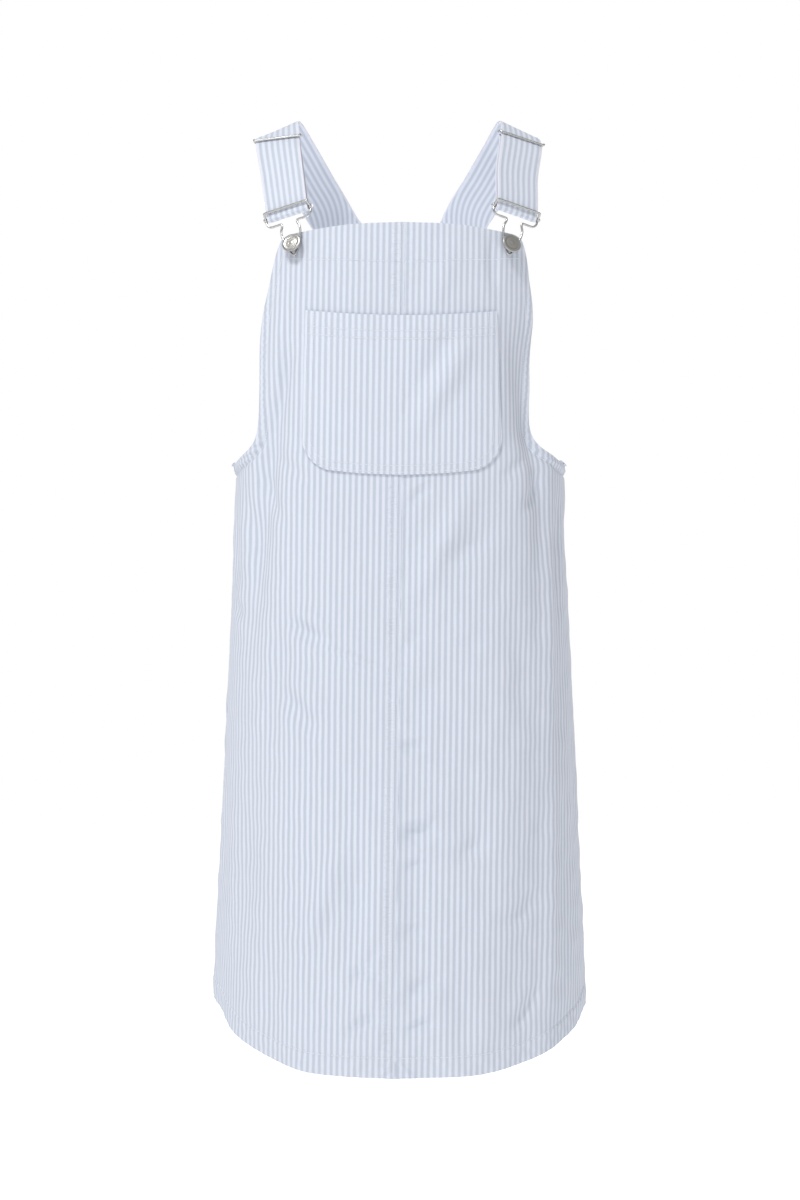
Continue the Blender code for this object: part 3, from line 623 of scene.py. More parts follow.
    def armhole_relief(self, run, z):
        """The turned armhole edge, which stands a little off the body and ripples at its lowest part."""
        distance = self.from_edge(run, z)
        lowest = 1 - smooth(-322, -285, z)
        upper = 1 - smooth(-185, -150, z)
        lip = (1.4 + 1.2 * lowest) * upper * np.exp(-((distance / 7.5) ** 2))
        groove = -(0.5 + 1.3 * lowest) * np.exp(-(((distance - 9.4) / 1.9) ** 2)) * upper
        beside = np.exp(-((distance / 9) ** 2))
        ripple = 0.45 * lowest * np.sin(run / 4.4 + z / 7) * beside * smooth(0, 5, distance)
        roping = 0.55 * np.sin(z / 1.1 + run / 6) * np.exp(-(((distance - 4.5) / 3.2) ** 2))
        return lip + groove + (ripple + roping) * upper

    def on(self, run, z, out=0.0):
        """Points of the cloth's outside, moved out."""
        run, z = np.broadcast_arrays(np.asarray(run, float), np.asarray(z, float))
        return surface(self.face, self.side, run, z, self.relief(run, z) + out)

    def normal(self, run, z):
        across = self.on(run + 0.6, z) - self.on(run - 0.6, z)
        up = self.on(run, z + 0.6) - self.on(run, z - 0.6)
        normal = unit(np.cross(across, up)) * self.side
        return normal if self.face == "front" else -normal


PANELS = {key: Panel(*key) for key in FORMS}


# ---------------------------------------------------------------- meshes
def link(name, mesh, finish, smooth_angle=50):
    """A piece from a mesh in millimetres."""
    mesh.transform(((MM, 0, 0, 0), (0, MM, 0, 0), (0, 0, MM, 0), (0, 0, 0, 1)))
    mesh.materials.append(finish)
    mesh.shade_smooth()
    mesh.set_sharp_from_angle(angle=math.radians(smooth_angle))
    piece = bpy.data.objects.new(name, mesh)
    bpy.context.scene.collection.objects.link(piece)
    return piece


def outward_faces(mesh):
    work = bmesh.new()
    work.from_mesh(mesh)
    bmesh.ops.recalc_face_normals(work, faces=work.faces)
    if work.calc_volume(signed=True) < 0:
        bmesh.ops.reverse_faces(work, faces=work.faces)
    work.to_mesh(mesh)
    work.free()


def lay_map(mesh, places, name="cloth"):
    """The cloth's own coordinates in metres, one pair for each point."""
    layer = mesh.uv_layers.new(name=name)
    corners = np.empty(len(mesh.loops), np.int32)
    mesh.loops.foreach_get("vertex_index", corners)
    layer.uv.foreach_set("vector", (places[corners] * MM).astype(np.float32).ravel())


def grid_normals(grid, outward):
    normal = unit(np.cross(np.gradient(grid, axis=0), np.gradient(grid, axis=1)))
    return normal if (normal * outward).sum() > 0 else -normal


def shell(name, outer, thickness, places, outward, finish):
    """A thin closed sheet of cloth from a grid of outer points."""
    rows, columns = outer.shape[:2]
    inner = outer - grid_normals(outer, outward) * thickness[..., None]
    points = np.concatenate([outer.reshape(-1, 3), inner.reshape(-1, 3)])
    index = np.arange(rows * columns).reshape(rows, columns)
    a, b, c, d = index[:-1, :-1], index[:-1, 1:], index[1:, 1:], index[1:, :-1]
    top = np.stack([a, b, c, d], axis=-1).reshape(-1, 4)
    low = np.stack([a, d, c, b], axis=-1).reshape(-1, 4) + rows * columns
    rim = np.concatenate([index[0, :-1], index[:-1, -1], index[-1, :0:-1], index[:0:-1, 0]])
    nxt = np.roll(rim, -1)
    edge = np.stack([nxt, rim, rim + rows * columns, nxt + rows * columns], axis=-1)
    mesh = bpy.data.meshes.new(name)
    mesh.from_pydata(points.tolist(), [], np.concatenate([top, low, edge]).tolist())
    outward_faces(mesh)
    lay_map(mesh, np.concatenate([places.reshape(-1, 2)] * 2))
    return link(name, mesh, finish)


def closed_path(points, steps):
    """A smooth closed line through points, with so many steps between each two."""
    points = np.asarray(points, float)
    p0, p1, p2, p3 = (np.roll(points, k, axis=0)[:, None] for k in (1, 0, -1, -2))
    t = np.linspace(0, 1, steps, endpoint=False)[None, :, None]
    line = 2 * p1 + (p2 - p0) * t + (2 * p0 - 5 * p1 + 4 * p2 - p3) * t**2
    line = line + (3 * p1 - p0 - 3 * p2 + p3) * t**3
    return (line / 2).reshape(-1, 3)


def rings_mesh(name, rings, closed):
    """A skin over rings of points: a closed ring of rings, or a run of rings with flat ends."""
    count, sides = rings.shape[:2]
    index = np.arange(count * sides).reshape(count, sides)
    nxt = np.roll(index, -1, axis=0) if closed else index[1:]
    own = index if closed else index[:-1]
    faces = np.stack([own, np.roll(own, -1, axis=1), np.roll(nxt, -1, axis=1), nxt], axis=-1)
    faces = faces.reshape(-1, 4).tolist()
    if not closed:
        faces += [index[0][::-1].tolist(), index[-1].tolist()]
    mesh = bpy.data.meshes.new(name)
    mesh.from_pydata(rings.reshape(-1, 3).tolist(), [], faces)
    outward_faces(mesh)
    return mesh


def wire_ring(name, points, radius, steps, finish, sides=12):
    """A bent wire whose ends meet."""
    line = closed_path(points, steps)
    along = unit(np.roll(line, -1, axis=0) - np.roll(line, 1, axis=0))
    flat = np.linalg.svd(line - line.mean(axis=0))[2][2]
    a = unit(np.cross(along, flat))
    b = np.cross(along, a)
    turn = np.arange(sides) * 2 * math.pi / sides
    rings = line[:, None] + radius * (
        np.cos(turn)[None, :, None] * a[:, None] + np.sin(turn)[None, :, None] * b[:, None]
    )
    return link(name, rings_mesh(name, rings, True), finish)


def turned(name, profile, top, foot, axis, segments, finish):
    """A turned piece. Its map holds the angle and the radius."""
    axis = unit(np.asarray(axis, float))
    a = unit(np.cross(axis, [0, 0, 1.0]))
    b = np.cross(axis, a)
    turn = np.arange(segments) * 2 * math.pi / segments
    spokes = np.cos(turn)[:, None] * a + np.sin(turn)[:, None] * b
    rows = [Turned(0.01, profile[0].height), *profile, Turned(0.01, top)]
    rings = np.array([foot + axis * row.height + spokes * row.radius for row in rows])
    mesh = rings_mesh(name, rings, False)
    places = np.array([[math.cos(t) * row.radius, math.sin(t) * row.radius] for row in rows for t in turn])
    lay_map(mesh, places)
    return link(name, mesh, finish, 35)


def stitches(name, rows, finish, pitch=2.6, length=2.1, width=0.34):
    """Topstitching: each row is (points, normals) along a line, and a stitch is a bar that dips at its ends."""
    sides = 5
    turn = np.arange(sides) * 2 * math.pi / sides
    points, faces, base = [], [], 0
    for line, normals in rows:
        run = np.concatenate([[0], np.cumsum(np.linalg.norm(np.diff(line, axis=0), axis=1))])
        count = max(int(run[-1] / pitch), 1)
        starts = (np.arange(count) + 0.5) * run[-1] / count
        for shift, size, dip in STITCH_RINGS:
            at = starts + shift * length
            centre = np.stack([np.interp(at, run, line[:, k]) for k in range(3)], axis=1)
            out = unit(np.stack([np.interp(at, run, normals[:, k]) for k in range(3)], axis=1))
            ahead = np.stack([np.interp(at + 0.3, run, line[:, k]) for k in range(3)], axis=1)
            along = ahead - centre
            side = unit(np.cross(unit(along + 1e-9), out))
            ring = centre[:, None] + out[:, None] * dip
            ring = ring + width * size * (
                np.cos(turn)[None, :, None] * side[:, None] + 0.7 * np.sin(turn)[None, :, None] * out[:, None]
            )
            points.append(ring)
        block = np.stack(points[-4:], axis=1).reshape(-1, 3)
        points = points[:-4] + [block]
        for k in range(count):
            first = base + k * 4 * sides
            for r in range(3):
                for s in range(sides):
                    n = (s + 1) % sides
                    low, high = first + r * sides, first + (r + 1) * sides
                    faces.append((low + s, low + n, high + n, high + s))
            faces.append(tuple(first + s for s in reversed(range(sides))))
            faces.append(tuple(first + 3 * sides + s for s in range(sides)))
        base += count * 4 * sides
    mesh = bpy.data.meshes.new(name)
    mesh.from_pydata(np.concatenate(points).tolist(), [], faces)
    outward_faces(mesh)
    return link(name, mesh, finish, 80)


# ---------------------------------------------------------------- shader maths
class Number:
    """A number in a shader, so that its maths can be written as an expression."""

    def __init__(self, finish, socket):
        self.finish, self.socket = finish, socket

    def math(self, operation, *values):
        return self.finish.number("ShaderNodeMath", {"operation": operation}, dict(enumerate(values)))

    def __add__(self, other):
        return self.math("ADD", self, other)

    __radd__ = __add__

    def __sub__(self, other):
        return self.math("SUBTRACT", self, other)

    def __rsub__(self, other):
        return self.math("SUBTRACT", other, self)

    def __mul__(self, other):
        return self.math("MULTIPLY", self, other)

    __rmul__ = __mul__

    def __truediv__(self, other):
        return self.math("DIVIDE", self, other)

    def __abs__(self):
        return self.math("ABSOLUTE", self)

    def fraction(self):
        return self.math("FRACT", self)

    def sine(self):
        return self.math("SINE", self)

    def ramp(self, low, high):
        """0 below low, 1 above high, smooth between."""
        settings = {"interpolation_type": "SMOOTHSTEP"}
        return self.finish.number("ShaderNodeMapRange", settings, {0: self, 1: low, 2: high, 3: 0.0, 4: 1.0})


class Nodes:
    """A node tree in the making, of a material or of the world."""

    def __init__(self, tree):
        self.tree = tree

    def node(self, kind, settings, values):
        """Any node: its type, its settings, and the values or links of its sockets."""
        node = self.tree.nodes.new(kind)
        for name, value in settings.items():
            setattr(node, name, value)
        for socket, value in values.items():
            target = node.inputs[socket]
            if isinstance(value, Number):
                self.tree.links.new(value.socket, target)
            elif isinstance(value, bpy.types.NodeSocket):
                self.tree.links.new(value, target)
            else:
                target.default_value = value
        return node

    def number(self, kind, settings, values, output=0):
        return Number(self, self.node(kind, settings, values).outputs[output])


class Finish(Nodes):
    """A material in the making."""

    def __init__(self, name, **values):
        self.material = bpy.data.materials.new(name)
        self.material.use_nodes = True
        super().__init__(self.material.node_tree)
        self.shader = self.tree.nodes["Principled BSDF"]
        for socket, value in values.items():
            self.shader.inputs[socket.replace("_", " ")].default_value = value

    def map_place(self, name="cloth"):
        """The cloth's own coordinates, in millimetres."""
        place = self.node("ShaderNodeUVMap", {"uv_map": name}, {})
        apart = self.node("ShaderNodeSeparateXYZ", {}, {0: place.outputs[0]})
        return Number(self, apart.outputs[0]) * 1000, Number(self, apart.outputs[1]) * 1000

    def noise(self, x, y, scale, detail=2.0):
        """Noise from 0 to 1 over two coordinates."""
        place = self.node("ShaderNodeCombineXYZ", {}, {0: x, 1: y})
        values = {"Vector": place.outputs[0], "Scale": scale, "Detail": detail}
        return self.number("ShaderNodeTexNoise", {"noise_dimensions": "3D"}, values)

    def blend(self, factor, first, second):
        mix = self.node("ShaderNodeMix", {"data_type": "RGBA"}, {0: factor, 6: first, 7: second})
        return mix.outputs[2]

    def feed(self, socket, value):
        self.tree.links.new(value.socket if isinstance(value, Number) else value, self.shader.inputs[socket])

    def bump(self, height, strength, distance):
        values = {"Strength": strength, "Distance": distance, "Height": height}
        self.feed("Normal", self.node("ShaderNodeBump", {}, values).outputs[0])


def striped_cotton(name, looks, phase, painted_light_tone=1.0, margin=False, seam=False):
    """Yarn-dyed cotton: pale blue and white stripes along the warp, with a plain weave. The tone factor makes a
    brighter copy as painted light. The margin paints a strap's turned edge pale, in its own pinkish white with
    a painted highlight.
    """
    finish = Finish(name, Roughness=0.86, Sheen_Weight=0.12, Sheen_Roughness=0.5, Specular_IOR_Level=0.25)
    across, along = finish.map_place()
    wander = (finish.noise(across * 0.02, along * 0.012, 1.0) - 0.5) * 0.5
    turn = abs(((across + wander) / looks.stripe_pitch / 1000 + phase).fraction() - 0.5) * 2
    yarn = finish.noise(across * 2.6, along * 0.05, 1.0) - 0.5
    weft = finish.noise(across * 0.06, along * 2.4, 1.0) - 0.5
    fleck = finish.noise(across * 0.9, along * 0.22, 1.0) - 0.5
    stripe = (turn + yarn * 0.2 + fleck * 0.16).ramp(0.2, 0.8)
    cloth = finish.blend(stripe, (*looks.blue, 1), (*looks.white, 1))
    cloth = finish.blend(stripe * fleck.ramp(0.0, 0.2) * 0.35, cloth, (*looks.rose, 1))
    if margin:
        # the strap's turned edge is blended toward the pale edge colour: its own pinkish white, and in part a
        # painted highlight along the fold
        inside, _ = finish.map_place("margin")
        cloth = finish.blend((1 - inside.ramp(1.0, 2.6)) * 0.8, cloth, (*looks.edge, 1))
    cloud = finish.noise(across * 0.011, along * 0.008, 1.0) - 0.5
    # the random tone of the yarns, times the tone factor, which brightens a copy of the cloth as painted light
    shade = (1 + yarn * 0.08 + weft * 0.07 + cloud * 0.04) * painted_light_tone
    grey = finish.node("ShaderNodeCombineXYZ", {}, {0: shade, 1: shade, 2: shade})
    coloured = finish.node("ShaderNodeVectorMath", {"operation": "MULTIPLY"}, {0: cloth, 1: grey.outputs[0]})
    finish.feed("Base Color", coloured.outputs[0])
    weave = (across * (2 * math.pi / 0.55)).sine() * (along * (2 * math.pi / 0.55)).sine()
    height = weave * 0.5 + yarn * 1.2 + weft * 1.2
    if seam:
        ladder = (along * (2 * math.pi / 3.3)).sine() * (1 - abs(across + 9.2).ramp(1.0, 5.0))
        height = height + ladder * 9 * finish.noise(along * 0.03, across * 0.01, 1.0).ramp(0.35, 0.6)
    finish.bump(height, 0.25, 0.00012)
    return finish.material


def thread(looks):
    finish = Finish("topstitch_thread", Roughness=0.6, Sheen_Weight=0.2)
    finish.shader.inputs["Base Color"].default_value = (*looks.thread, 1)
    return finish.material


def bright_wire(looks):
    """Nickel-plated wire, with faint marks from handling."""
    finish = Finish("handled_nickel", Metallic=1.0)
    place = finish.node("ShaderNodeTexCoord", {}, {}).outputs["Object"]
    marks = finish.number("ShaderNodeTexNoise", {}, {"Vector": place, "Scale": 900.0, "Detail": 3.0})
    finish.feed("Roughness", marks * 0.16 + 0.2)
    worn = (*[c * 0.85 for c in looks.wire], 1)
    finish.feed("Base Color", finish.blend(marks.ramp(0.3, 0.7), worn, (*looks.wire, 1)))
    return finish.material


def brushed_cap(looks):
    """Brushed metal with rings from turning. Painted shade darkens its two grooves into dark rings, which leave
    the middle bright.
    """
    finish = Finish("ringed_cap", Metallic=1.0)
    x, y = finish.map_place()
    radius = finish.number("ShaderNodeMath", {"operation": "SQRT"}, {0: x * x + y * y})
    rings = (radius * 4.2).sine()
    grain = finish.noise(radius * 6, radius * 0.5, 1.0)
    # painted shade: dark rings at the radii of the cap's two grooves
    painted_groove_shade = 0.35 * (1 - abs(radius - 6.7).ramp(0.0, 0.7)) + 0.2 * (1 - abs(radius - 2.4).ramp(0.0, 0.5))
    # the cap colour with its grain and the painted shade of the grooves
    grain_and_painted_shade = finish.blend(painted_groove_shade + grain * 0.15, (*looks.cap, 1), (*[c * 0.35 for c in looks.cap], 1))
    finish.feed("Base Color", grain_and_painted_shade)
    finish.feed("Roughness", grain * 0.15 + 0.3)
    finish.bump(rings * 0.5 + grain, 0.35, 0.00025)
    return finish.material


def studio_world():
    """White behind the dress, and softer light that is strongest from the front left."""
    world = bpy.data.worlds.new("studio")
    world.use_nodes = True
    nodes = Nodes(world.node_tree)
    way = nodes.node("ShaderNodeTexCoord", {}, {}).outputs["Generated"]
    towards = nodes.node("ShaderNodeVectorMath", {"operation": "DOT_PRODUCT"}, {0: way, 1: WORLD_SIDE})
    seen = nodes.number("ShaderNodeLightPath", {}, {})
    light = Number(nodes, towards.outputs["Value"]) * 0.12 + 0.51
    background = world.node_tree.nodes["Background"]
    background.inputs[0].default_value = (1.0, 1.0, 1.0, 1.0)
    strength = seen + (1 - seen) * light
    world.node_tree.links.new(strength.socket, background.inputs[1])
    return world


# ---------------------------------------------------------------- settings of the add-on
def colour(name, description, default):
    return FloatVectorProperty(
        name=name, description=description, default=default, subtype="COLOR", size=3, min=0.0, max=1.0
    )


class DressLooks(bpy.types.PropertyGroup):
    """Colours and cloth of the dress."""

    blue: colour("Blue stripe", "Colour of the dyed stripe", (0.474, 0.512, 0.594))
    white: colour("White stripe", "Colour of the undyed stripe", (0.632, 0.670, 0.750))
    rose: colour("Warm fleck", "Colour of the flecks in the white stripe", (0.66, 0.66, 0.74))
    # the turned edge's own pinkish white, which is in part a painted highlight along the fold
    edge: colour("Strap edge", "Colour of a strap's turned edge", (0.66, 0.665, 0.735))
    thread: colour("Thread", "Colour of the topstitching", (0.70, 0.735, 0.80))
    wire: colour("Wire", "Colour of the buckles and slide rings", (0.53, 0.53, 0.52))
    cap: colour("Button cap", "Colour of the button caps", (0.44, 0.43, 0.41))
    floor: colour("Floor", "Colour of the studio floor", (0.84, 0.84, 0.84))
    stripe_pitch: FloatProperty(
        name="Stripe pitch", description="From one blue stripe to the next", default=0.00577, unit="LENGTH"
    )


class DressSizes(bpy.types.PropertyGroup):
    """Sizes of the cloth and the sewing."""

    cloth: FloatProperty(name="Cloth", description="Thickness of one layer", default=0.0009, unit="LENGTH")
    hem_cloth: FloatProperty(
        name="Turned hem", description="Thickness where the cloth is turned", default=0.0019, unit="LENGTH"
    )
    hem_depth: FloatProperty(name="Hem", description="Depth of the skirt's hem", default=0.019, unit="LENGTH")
    bib_hem_depth: FloatProperty(
        name="Bib hem", description="Depth of the bib's turned top", default=0.038, unit="LENGTH"
    )
    armhole_hem: FloatProperty(
        name="Armhole hem", description="Depth of the turned armhole edge", default=0.0088, unit="LENGTH"
    )
    stitch_pitch: FloatProperty(
        name="Stitch", description="From one stitch to the next", default=0.0026, unit="LENGTH"
    )


def looks():
    return bpy.context.scene.dress_looks


def sizes():
    return bpy.context.scene.dress_sizes


def made(name, build):
    """The material of that name, built once."""
    return bpy.data.materials.get(name) or build()


def cloth_finish(phase=0.0, name="panel_stripes", painted_light_tone=1.0, seam=False):
    return made(name, lambda: striped_cotton(name, looks(), phase, painted_light_tone, seam=seam))


def metal_finish():
    return made("handled_nickel", lambda: bright_wire(looks()))


def strap_finish():
    # 1.03: the straps' copy of the cloth is painted 3% brighter, painted light against the shade on the straps
    return made("strap_stripes", lambda: striped_cotton("strap_stripes", looks(), 0.5, 1.03, True))


# ---------------------------------------------------------------- panels as pieces
def panel_places(panel):
    run, z = panel.grid()
    above = z - HEM_Z(np.clip(run / panel.form.length_at(z), 0, 1))
    turned_edge = above < sizes().hem_depth / MM
    turned_edge |= panel.from_edge(run, z) < sizes().armhole_hem / MM
    share = run / np.maximum(run[:, -1:], 1)
    below_top = panel.top(share) - z
    turned_edge |= below_top < (sizes().bib_hem_depth / MM if panel.face == "front" else BACK_BIB_HEM)
    thickness = np.where(turned_edge, sizes().hem_cloth, sizes().cloth) / MM
    return run, z, thickness


def front_half(side):
    panel = PANELS["front", side]
    run, z, thickness = panel_places(panel)
    outer = panel.on(run, z)
    places = np.stack([run * side, z], axis=-1)
    finish = cloth_finish(0.0, "front_stripes", 1.0, True)
    return shell(panel.name + "_cloth", outer, thickness, places, outer * [1, 1, 0], finish)


def whole_back():
    parts = []
    for side in (-1, 1):
        panel = PANELS["back", side]
        run, z, thickness = panel_places(panel)
        parts.append((panel.on(run, z), thickness, np.stack([run * side, z], axis=-1)))
    joined = [np.concatenate([left[:, ::-1], right[:, 1:]], axis=1) for left, right in zip(*parts)]
    outer, thickness, places = joined
    return shell("back_cloth", outer, thickness, places, outer * [1, 1, 0], cloth_finish())


def on_front(run, z, out):
    """Points over the front at a signed distance from the centre seam, with its folds and creases."""
    halves = []
    for side in (-1, 1):
        own = np.maximum(run * side, 0)
        halves.append(surface("front", side, own, z, out + PANELS["front", side].creased(own, z)))
    return np.where((run < 0)[..., None], *halves)


def pocket_place(across, down):
    """(run, z) in the pocket for shares across it and down it, both from 0 to 1."""
    into_corner = np.clip((down * POCKET_HEIGHT - (POCKET_HEIGHT - POCKET_CORNER)) / POCKET_CORNER, 0, 0.995)
    cut = POCKET_CORNER * (1 - np.sqrt(1 - into_corner**2))
    left = POCKET_TOP_LEFT + (POCKET_BOTTOM_HALF - POCKET_TOP_LEFT) * down - cut
    right = POCKET_TOP_RIGHT + (POCKET_BOTTOM_HALF - POCKET_TOP_RIGHT) * down - cut
    run = -left + (left + right) * across
    rise = (run / POCKET_BOTTOM_HALF) ** 2
    top = POCKET_TOP_Z + POCKET_TOP_RISE * rise
    bottom = POCKET_BOTTOM_Z + POCKET_BOTTOM_RISE * rise
    return run, top + (bottom - top) * down


def pocket_out(run, z, down):
    """How far the pocket's outside stands off the front."""
    below = down * POCKET_HEIGHT
    middle = np.exp(-((run / 70) ** 2)) * np.sin(math.pi * np.clip(down, 0, 1)) ** 0.7
    mouth = 0.1 * np.exp(-((run / 60) ** 2)) * (1 - smooth(0, 35, below))
    turned = 1 - smooth(POCKET_MOUTH_HEM - 1.5, POCKET_MOUTH_HEM + 0.5, below)
    fold = 0.4 * turned - 0.3 * np.exp(-(((below - POCKET_MOUTH_HEM) / 1.4) ** 2))
    wave = 0.25 * np.sin(run / 6.5 + 1) * np.exp(-((below - 20) ** 2) / 200)
    return POCKET_STANDOFF + 0.8 * middle + mouth + fold + wave


def pocket():
    rows = np.sin(np.linspace(0, math.pi / 2, POCKET_ROWS)) * 0.5 + np.linspace(0, 1, POCKET_ROWS) * 0.5
    across, down = np.meshgrid(np.linspace(0, 1, POCKET_COLUMNS), rows)
    run, z = pocket_place(across, down)
    outer = on_front(run, z, pocket_out(run, z, down))
    thickness = np.where(down * POCKET_HEIGHT < POCKET_MOUTH_HEM, POCKET_CLOTH_TURNED, POCKET_CLOTH)
    places = np.stack([run, z], axis=-1)
    # 1.02: the pocket's copy of the cloth is painted 2% brighter, painted light
    finish = cloth_finish(0.37, "pocket_stripes", 1.02)
    return shell("bib_pocket_cloth", outer, thickness, places, outer * [1, 1, 0], finish)


# ---------------------------------------------------------------- straps
class Axes:
    """A plane with its own directions: across to +X, up, and out from the dress."""

    def __init__(self, origin, across, up, out):
        self.origin, self.across, self.up, self.out = origin, across, up, out

    def place(self, across, up, out):
        return self.origin + self.across * across + self.up * up + self.out * out


def button_foot(side):
    run = FORMS["front", side].run_at(BUTTON_SHIFT + side * BUTTON_ACROSS, BUTTON_Z)
    foot, above, beside = (
        surface("front", side, run + r, BUTTON_Z + z) for r, z in ((0, 0), (0, 4), (4, 0))
    )
    out = unit(np.cross(above - foot, (beside - foot) * -side))
    return foot, out if out[1] < 0 else -out


def buckle_axes(side):
    """The buckle's plane. Its origin is the middle of the bar."""
    foot, (x, y, z) = button_foot(side)
    pose = BUCKLE_POSE[side]
    turn = math.radians(pose.turn) * side
    out = np.array([x * math.cos(turn) + y * math.sin(turn), y * math.cos(turn) - x * math.sin(turn), z])
    upright = unit(np.array([0, 0, 1]) - out * out[2])
    across = unit(np.cross(out, upright))
    across = across if across[0] > 0 else -across
    roll = math.radians(pose.roll) * side
    up = upright * math.cos(roll) + across * math.sin(roll)
    across = across * math.cos(roll) - upright * math.sin(roll)
    lean = math.radians(pose.lean)
    leaned_up = up * math.cos(lean) - out * math.sin(lean)
    leaned_out = out * math.cos(lean) + up * math.sin(lean)
    return Axes(foot + out * pose.lift + leaned_up * pose.bar_up, across, leaned_up, leaned_out)


class StrapLine:
    """The middle line of a strap with its width direction, by distance from its end on the back."""

    def __init__(self, side):
        self.side = side
        self.width_at_bar = STRAP_FREE[side][-1].width
        knots = [self.sewn(row) for row in STRAP_SEWN_ON]
        knots += [self.free(row) for row in STRAP_FREE[side]]
        knots.append(self.at_buckle(knots[-1][:3]))
        knots = np.array(knots)
        self.place, self.across, self.width = knots[:, :3], knots[:, 3:6], knots[:, 6]
        self.at = np.concatenate([[0], np.cumsum(np.linalg.norm(np.diff(self.place, axis=0), axis=1))])
        self.slopes = unit(np.gradient(self.place, self.at, axis=0))
        self.slopes[-1] = self.last_slope

    def inward(self, tilt, yaw):
        tilt, yaw = math.radians(tilt), math.radians(yaw)
        return [
            -self.side * math.cos(tilt) * math.cos(yaw),
            -math.cos(tilt) * math.sin(yaw),
            math.sin(tilt),
        ]

    def free(self, row):
        return [self.side * row.across, row.y, row.z, *self.inward(row.tilt, row.yaw), row.width]

    def sewn(self, row):
        form = FORMS["back", self.side]
        run = form.run_at(SIZE["centre"](row.z) + self.side * row.across, row.z)
        x, y, z = surface("back", self.side, run, row.z, GAP + 0.2 + STRAP_CLOTH / 2)
        out = form.at(np.array(run), np.array(float(row.z)))[1]
        yaw = -math.degrees(math.atan2(abs(out[0]), out[1]))
        return [x, y, z, *self.inward(row.tilt, yaw), row.width]

    def at_buckle(self, before):
        axes = buckle_axes(self.side)
        self.last_slope = unit(axes.origin - np.array(before)) - axes.up
        self.last_slope -= axes.across * self.last_slope.dot(axes.across)
        self.last_slope = unit(self.last_slope)
        out = np.cross(self.last_slope, axes.across)
        place = axes.origin + out * TURN_RADIUS
        return [*place, *(axes.across * -self.side), self.width_at_bar]

    def sample(self, at):
        """Place, forward direction, inward width direction, outward normal and width at a distance."""
        at = min(max(at, 0.0), self.at[-1])
        i = min(int(np.searchsorted(self.at, at, side="right")) - 1, len(self.at) - 2)
        span = self.at[i + 1] - self.at[i]
        t = (at - self.at[i]) / span
        h = ((1 + 2 * t) * (1 - t) ** 2, t * (1 - t) ** 2, t * t * (3 - 2 * t), t * t * (t - 1))
        dh = (6 * t * t - 6 * t, 3 * t * t - 4 * t + 1, 6 * t - 6 * t * t, 3 * t * t - 2 * t)
        ends = (self.place[i], self.slopes[i] * span, self.place[i + 1], self.slopes[i + 1] * span)
        place = sum(w * e for w, e in zip(h, ends))
        forward = unit(sum(w * e for w, e in zip(dh, ends)))
        ease = t * t * (3 - 2 * t)
        width = self.width[i] * (1 - ease) + self.width[i + 1] * ease
        across = self.across[i] * (1 - ease) + self.across[i + 1] * ease
        across = unit(across - forward * across.dot(forward))
        out = np.cross(forward, across) * -self.side
        return place, forward, across, out, width

    def slider_at(self):
        return self.at[len(STRAP_SEWN_ON) + SLIDER_KNOT] - SLIDER_HALF_HEIGHT


def strap_stations(line):
    """(place, width direction, outward direction, width, distance) all along the strap and its return."""
    length = line.at[-1]
    stations = []
    for at in np.linspace(0, length, STRAP_STEPS)[:-1]:
        place, _, across, out, width = line.sample(at)
        stations.append((place, across, out, width, at))
    place, forward, across, out, width = line.sample(length)
    bar = place - out * TURN_RADIUS
    for k in range(STRAP_TURN_STEPS):
        angle = math.pi * k / (STRAP_TURN_STEPS - 1)
        spoke = out * math.cos(angle) + forward * math.sin(angle)
        stations.append((bar + spoke * TURN_RADIUS, across, spoke, width, length + angle * TURN_RADIUS))
    start = length + math.pi * TURN_RADIUS
    low, high = length - 4, line.slider_at() - 3
    for at in np.linspace(low, high, STRAP_RETURN_STEPS):
        place, _, across, out, width = line.sample(at)
        stations.append((place - out * 2 * TURN_RADIUS, across, -out, width, start + low - at))
    return stations


def stripe_shift(at):
    """Near the back bib the stripes stay upright while the strap leans out to the shoulder."""
    steps = np.linspace(at, STRIPE_BEND_END, 60)
    lean = 0.58 * smooth(0, 60, steps) * (1 - smooth(70, 115, steps))
    return -lean.mean() * (STRIPE_BEND_END - at) if at < STRIPE_BEND_END else 0.0


def strap(side):
    """A doubled strap: flat, with rounded turned edges."""
    line = StrapLine(side)
    stations = strap_stations(line)
    turn = np.arange(STRAP_SIDES) * 2 * math.pi / STRAP_SIDES
    wide = np.sign(np.cos(turn)) * np.abs(np.cos(turn)) ** STRAP_FLATNESS
    thick = np.sign(np.sin(turn)) * np.abs(np.sin(turn)) ** STRAP_EDGE
    rings, places, margins = [], [], []
    for place, across, out, width, at in stations:
        sewn = (np.abs(wide) * width / 2 - (width / 2 - STRAP_MARGIN)) / 0.7
        edge = 1 - 0.22 * np.exp(-(sewn**2))
        ring = place + across * (wide * width / 2)[:, None] + out * (thick * edge * 1.05)[:, None]
        rings.append(ring)
        places += [(w * width / 2 - stripe_shift(at), at) for w in wide]
        margins += [((1 - abs(w)) * width / 2, at) for w in wide]
    name = sided("strap", side)
    mesh = rings_mesh(name + "_cloth", np.array(rings), False)
    lay_map(mesh, np.array(places))
    lay_map(mesh, np.array(margins), "margin")
    return link(name + "_cloth", mesh, strap_finish(), 60)


def strap_rows(side):
    """Edge stitching on the strap's outside, and the sewn box on the back bib."""
    line = StrapLine(side)
    rows = []
    for edge in (-1, 1):
        for start, end in ((0, line.slider_at() - 6), (line.slider_at() + 8, line.at[-1] - 1)):
            points, normals = [], []
            for at in np.arange(start, end, 3.0):
                place, _, across, out, width = line.sample(at)
                points.append(place + across * edge * (width / 2 - STRAP_MARGIN) + out * 1.0)
                normals.append(out)
            rows.append((np.array(points), np.array(normals)))
    for at in (3.0, 18.0):
        place, _, across, out, width = line.sample(at)
        points = [place + across * s * (width / 2 - 3) + out * 1.1 for s in np.linspace(-1, 1, 12)]
        rows.append((np.array(points), np.array([out] * 12)))
    return rows


